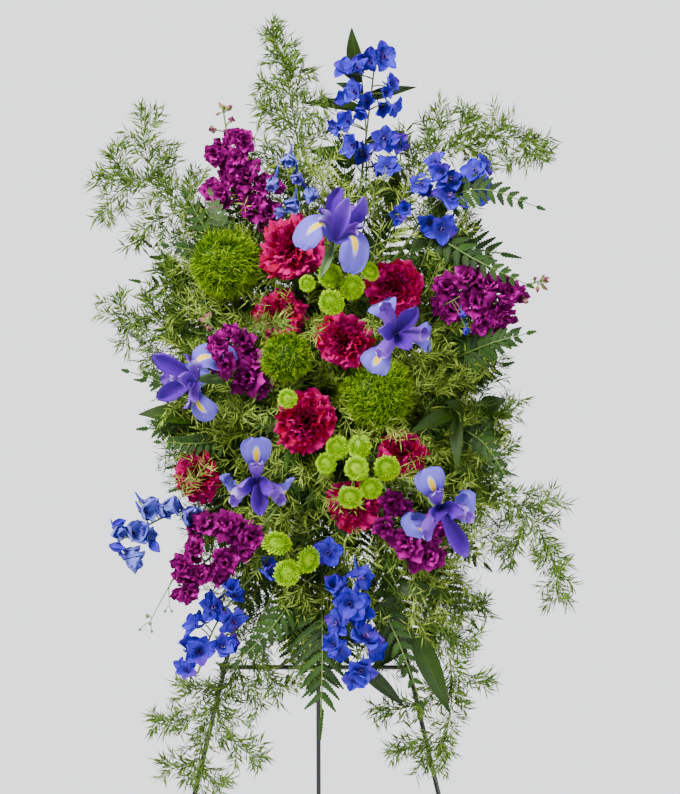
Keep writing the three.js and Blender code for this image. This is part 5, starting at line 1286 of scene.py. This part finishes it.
for name, row, seed in numbered("carnation", 101, CARNATIONS):
    carnation(name, *row, seed)
for name, row, seed in numbered("green_trick", 131, TUFTED_HEADS):
    tufted_head(name, *row, seed)
for name, row, seed in numbered("iris", 151, IRISES):
    iris(name, *row, seed)
for name, row, seed in numbered("stock", 171, STOCKS):
    spike(name, *row, stock_floret, stock_bud, "petals_plum", seed, stem=2.6, growth=1.3, echo=0.9,
          tip_buds=8)
open_faces = {"sway": 0.6, "nod": 0.12, "growth": 1.3, "echo": 0.7}
small_faces = {**open_faces, "growth": 1.15, "echo": 0.9}
bells = {"finish": PALE_BLUE, "closed": 0.9, "sway": 0.3, "nod": 0.9, "growth": 1.6}
side_bells = {
    "finish": PALE_BLUE, "closed": 0.7, "sway": 0.5, "lean": (1.9, 0, -0.3), "growth": 1.8, "echo": 0.8,
}
habits = [small_faces, bells, small_faces, side_bells, open_faces, open_faces]
for habit, (name, row, seed) in zip(habits, numbered("delphinium", 201, DELPHINIUMS)):
    spike(name, *row, delphinium_floret, delphinium_bud, "petals_blue", seed, **habit)
for name, row, seed in numbered("chrysanthemum", 231, CHRYSANTHEMUMS):
    spike(name, *row, button_head, None, "petals_lime", seed, stem=1.8)
for i, row in enumerate(FRONDS):
    fern(*row, 251 + i)
for i, row in enumerate(LEAFY_STEMS):
    leafy_stem(*row, 271 + i)
for i, row in enumerate(SPRAYS):
    needle_spray(*row, 301 + i)

backing_fronds("backing_fronds_outer", 351, count=26, reach=48, depth=-160, start_share=0.55, end_share=1.0)
backing_fronds("backing_fronds_middle", 352, count=24, reach=48, depth=-182, start_share=0.3, end_share=0.8)
backing_fronds("backing_fronds_inner", 353, count=16, reach=44, depth=-206, start_share=0.05, end_share=0.55)
front_fronds("front_fronds", 354, [
    ([-91, 1238], [-125, 1267], [-154, 1315], 36, 1),
    ([-96, 1245], [-113, 1281], [-125, 1317], 30, -1),
    ([-101, 1229], [-134, 1248], [-175, 1257], 30, 1),
    ([-108, 1070], [-161, 1087], [-223, 1106], 30, 1),
    ([-103, 1025], [-144, 1020], [-185, 1022], 26, 1),
    ([156, 1317], [204, 1325], [264, 1305], 34, 1),
    ([144, 1269], [197, 1238], [252, 1212], 32, 1),
    ([168, 1123], [209, 1140], [252, 1152], 36, 1),
    ([163, 1044], [202, 1020], [235, 969], 30, 1),
    ([-19, 845], [-53, 799], [-91, 761], 34, 1),
    ([67, 845], [98, 785], [125, 713], 34, 1),
    ([7, 837], [8, 773], [6, 691], 74, 1),
])
# The back and middle masses use needles painted dark as shade.
shaded_mass = {"count": 240, "spacing": 16, "length": 66, "finish": SHADED_NEEDLE}
needle_mass("greenery_back", 361, front=-200, back=-172, **shaded_mass)
needle_mass("greenery_middle", 362, front=-225, back=-185, **shaded_mass)
# The front mass uses needles painted light as highlight.
needle_mass("greenery_front", 363, front=-248, back=-195, count=190, spacing=20, length=58, finish=LIT_NEEDLE)
sprigs("bud_sprigs", 381, [
    ([[-144, 885], [-166, 864], [-185, 833], [-199, 806]], -240, False, [
        [-202, 813, 3.2], [-199, 804, 2.6], [-211, 797, 2.2], [-197, 795, 2.2],
    ]),
    ([[-158, 871], [-175, 852], [-176, 825]], -240, False, [[-181, 819, 2.2], [-173, 819, 2.2]]),
    ([[149, 1185, -226], [161, 1190], [173, 1197]], -254, True, [[175, 1178, 9], [180, 1159, 9]]),
    ([[29, 953, -236], [34, 960]], -256, False, [[34, 966, 5]]),
])
collar("greenery_collar", 365, count=48)
wisps("wisps", 364, [
    ([-168, 945], [-132, 993, -272]),
    ([-134, 1010], [-156, 969, -272]),
    ([-65, 1130], [-38, 1171, -276]),
    ([17, 1166], [2, 1149, -285]),
    ([84, 1133], [60, 1173, -285]),
    ([5, 998], [-19, 979, -270]),
    ([101, 1049], [48, 1025, -290]),
    ([67, 1049], [106, 1032, -282]),
    ([-79, 1061], [-151, 1068, -286]),
    ([-91, 1037], [-48, 1061, -282]),
    ([17, 1085], [43, 1034, -275]),
    ([-115, 1157], [-144, 1116, -280]),
])
backing_leaves("backing_leaves", 371, [
    ([-91, 1157], [-91, 1202], 9),
    ([-65, 1157], [-89, 1193], 8),
    ([17, 1269], [55, 1286], 10),
    ([17, 929], [43, 890], 7),
    ([-96, 1068], [-113, 1029], 9),
    ([137, 1037], [113, 1029], 12),
    ([48, 758, -222], [109, 705, -226], 10),
    ([43, 773, -222], [-22, 753, -226], 4),
    ([38, 799, -214], [-19, 806, -212], 7),
    ([67, 789, -216], [130, 785, -212], 9),
], scattered_count=90)

# The easel and the flower holder


def painted_wire(name, ridges, depth):
    """Black paint on wire, with fine slanting ridges where the wire is twisted, the paint lighter along the
    slant as painted highlight.
    """
    finish = Finish(name)
    specks = finish.place.noise(220.0, 3.0)
    across, _, height = finish.place.parts("ShaderNodeSeparateXYZ", "Vector")
    slant = (height + across * 0.6).wave(ridges)
    return finish.fed(
        # The slant also lightens the paint in stripes: painted highlight on the ridges.
        Base_Color=(specks * 0.5 + slant * 0.3).mix((8, 9, 10), (34, 38, 40)),
        Normal=(slant + specks * 0.3).bump(depth),
        Roughness=specks * 0.25 + 0.3,
        Metallic=0.2,
        Coat_Weight=0.3,
        Coat_Roughness=0.2,
    )


def moulded_plastic(name, dark, light, grain, depth):
    finish = Finish(name)
    cells = finish.place.noise(grain, 4.0)
    return finish.fed(
        Base_Color=cells.ramp(0.3, 0.7).mix(dark, light),
        Normal=cells.bump(depth),
        Roughness=cells * 0.3 + 0.4,
    )


def dress(nodes, finish):
    for node in nodes:
        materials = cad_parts[node].data.materials
        for i in range(len(materials)):
            materials[i] = finish.material


SMOOTH_WIRE = painted_wire("painted wire", 1, 0.0001)
TWISTED_WIRE = painted_wire("twisted painted wire", 160, 0.0006)
dress(["easel_leg_left", "easel_leg_right"], TWISTED_WIRE)
dress(["easel_crossbar", "easel_hinge_bar", "easel_top_hook"], SMOOTH_WIRE)
dress(["easel_leg_stop", "easel_back_leg"], SMOOTH_WIRE)


def welds():
    """Beads where the crossbar meets the legs, and a curl of spare wire under one of them."""
    plant = Plant("crossbar_welds", 391)
    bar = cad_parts["easel_crossbar"]
    corners = np.array([bar.matrix_world @ vertex.co for vertex in bar.data.vertices])
    for side in (-1, 1):
        joint = corners[np.argmax(side * corners[:, 0])] - side * 7 * MM * X
        plant.turned(joint, X, MM, -6, 6, [0.8, 3.2, 4.2, 4.5, 4.0, 3.0, 0.8], 8, SMOOTH_WIRE)
    turn = np.linspace(0.6, 5.8, 15)[:, None]
    curl = joint + MM * (np.array([-8, -3, -5]) + 4.2 * (np.cos(turn) * X + np.sin(turn) * UP))
    plant.add(tubes(curl, 0.8 * MM, 6), SMOOTH_WIRE, closed=True)
    plant.finished("black_paint")


welds()
dress(["cage_tray", "cage_grid"], moulded_plastic("cage plastic", (22, 58, 34), (34, 78, 46), 300.0, 0.0001))
dress(["foam_block"], moulded_plastic("wet foam", (22, 50, 26), (46, 88, 48), 700.0, 0.0008))
dress(["tie_left", "tie_right"], moulded_plastic("tie plastic", (12, 12, 12), (26, 26, 26), 400.0, 0.00005))

# The floor, the light and the eye

FLOOR_RADIUS = 2.6
FLOOR_SIDES = 96
floor_mesh = bpy.data.meshes.new("floor")
angles = [TURN * i / FLOOR_SIDES for i in range(FLOOR_SIDES)]
rim = [(FLOOR_RADIUS * math.cos(angle), FLOOR_RADIUS * math.sin(angle), 0.0) for angle in angles]
floor_mesh.from_pydata(rim, [], [list(range(FLOOR_SIDES))])
floor = bpy.data.objects.new("floor", floor_mesh)
bpy.context.scene.collection.objects.link(floor)
floor_finish = Finish("pale floor")
grain = floor_finish.place.noise(6.0, 3.0)
floor_finish.fed(Base_Color=grain.mix((222, 223, 226), (236, 236, 238)), Roughness=0.7)
floor_mesh.materials.append(floor_finish.material)

BACKDROP = 2.0  # how bright the background looks
SKY_LIGHT = 0.35  # how brightly it lights the object
SKY_COLOUR = (0.94, 0.96, 1.0, 1.0)
world = bpy.data.worlds.new("studio")
world.use_nodes = True
sky = world.node_tree.nodes["Background"]
sky.inputs["Color"].default_value = SKY_COLOUR
straight = world.node_tree.nodes.new("ShaderNodeLightPath")
seen_straight = Signal(world.node_tree, straight.outputs["Is Camera Ray"])
strength = seen_straight * (BACKDROP - SKY_LIGHT) + SKY_LIGHT
world.node_tree.links.new(strength.socket, sky.inputs["Strength"])
bpy.context.scene.world = world


def aim(thing, target):
    """Turns a camera or a lamp, which look along their own -Z, towards a place."""
    back = unit(np.array(thing.location) - target)
    guide = UP if abs(back[2]) < 0.99 else X
    right = unit(np.cross(guide, back))
    above = np.cross(back, right)
    turned = Matrix((right, above, back)).transposed().to_4x4()
    thing.matrix_world = Matrix.Translation(thing.location) @ turned


MIDDLE = np.array([0.02, -0.2, 1.05])


def soft_lamp(name, place, size, watts, colour):
    """A square lamp that looks at the middle of the flowers."""
    lamp = bpy.data.lights.new(name, "AREA")
    lamp.size = size
    lamp.energy = watts
    lamp.color = colour
    holder = bpy.data.objects.new(name, lamp)
    bpy.context.scene.collection.objects.link(holder)
    holder.location = place
    aim(holder, MIDDLE)


soft_lamp("key", (-1.5, -1.9, 2.9), size=1.0, watts=198, colour=(1.0, 0.98, 0.95))
soft_lamp("fill", (2.2, -1.8, 1.3), size=1.8, watts=46, colour=(0.97, 0.98, 1.0))
soft_lamp("rim", (0.6, 1.8, 2.6), size=1.2, watts=60, colour=(1.0, 1.0, 1.0))

SENSOR = 36.0
VIEW_HEIGHT = 0.953  # what the picture's height takes in at the bloom plane, in metres
eye = bpy.data.cameras.new("eye")
eye.sensor_width = SENSOR
distance = MM * (BLOOM_PLANE - EYE[1])
eye.lens = SENSOR * distance / VIEW_HEIGHT
camera = bpy.data.objects.new("eye", eye)
bpy.context.scene.collection.objects.link(camera)
camera.location = MM * EYE
aim(camera, MM * np.array([EYE[0], BLOOM_PLANE, EYE[2]]))
bpy.context.scene.camera = camera
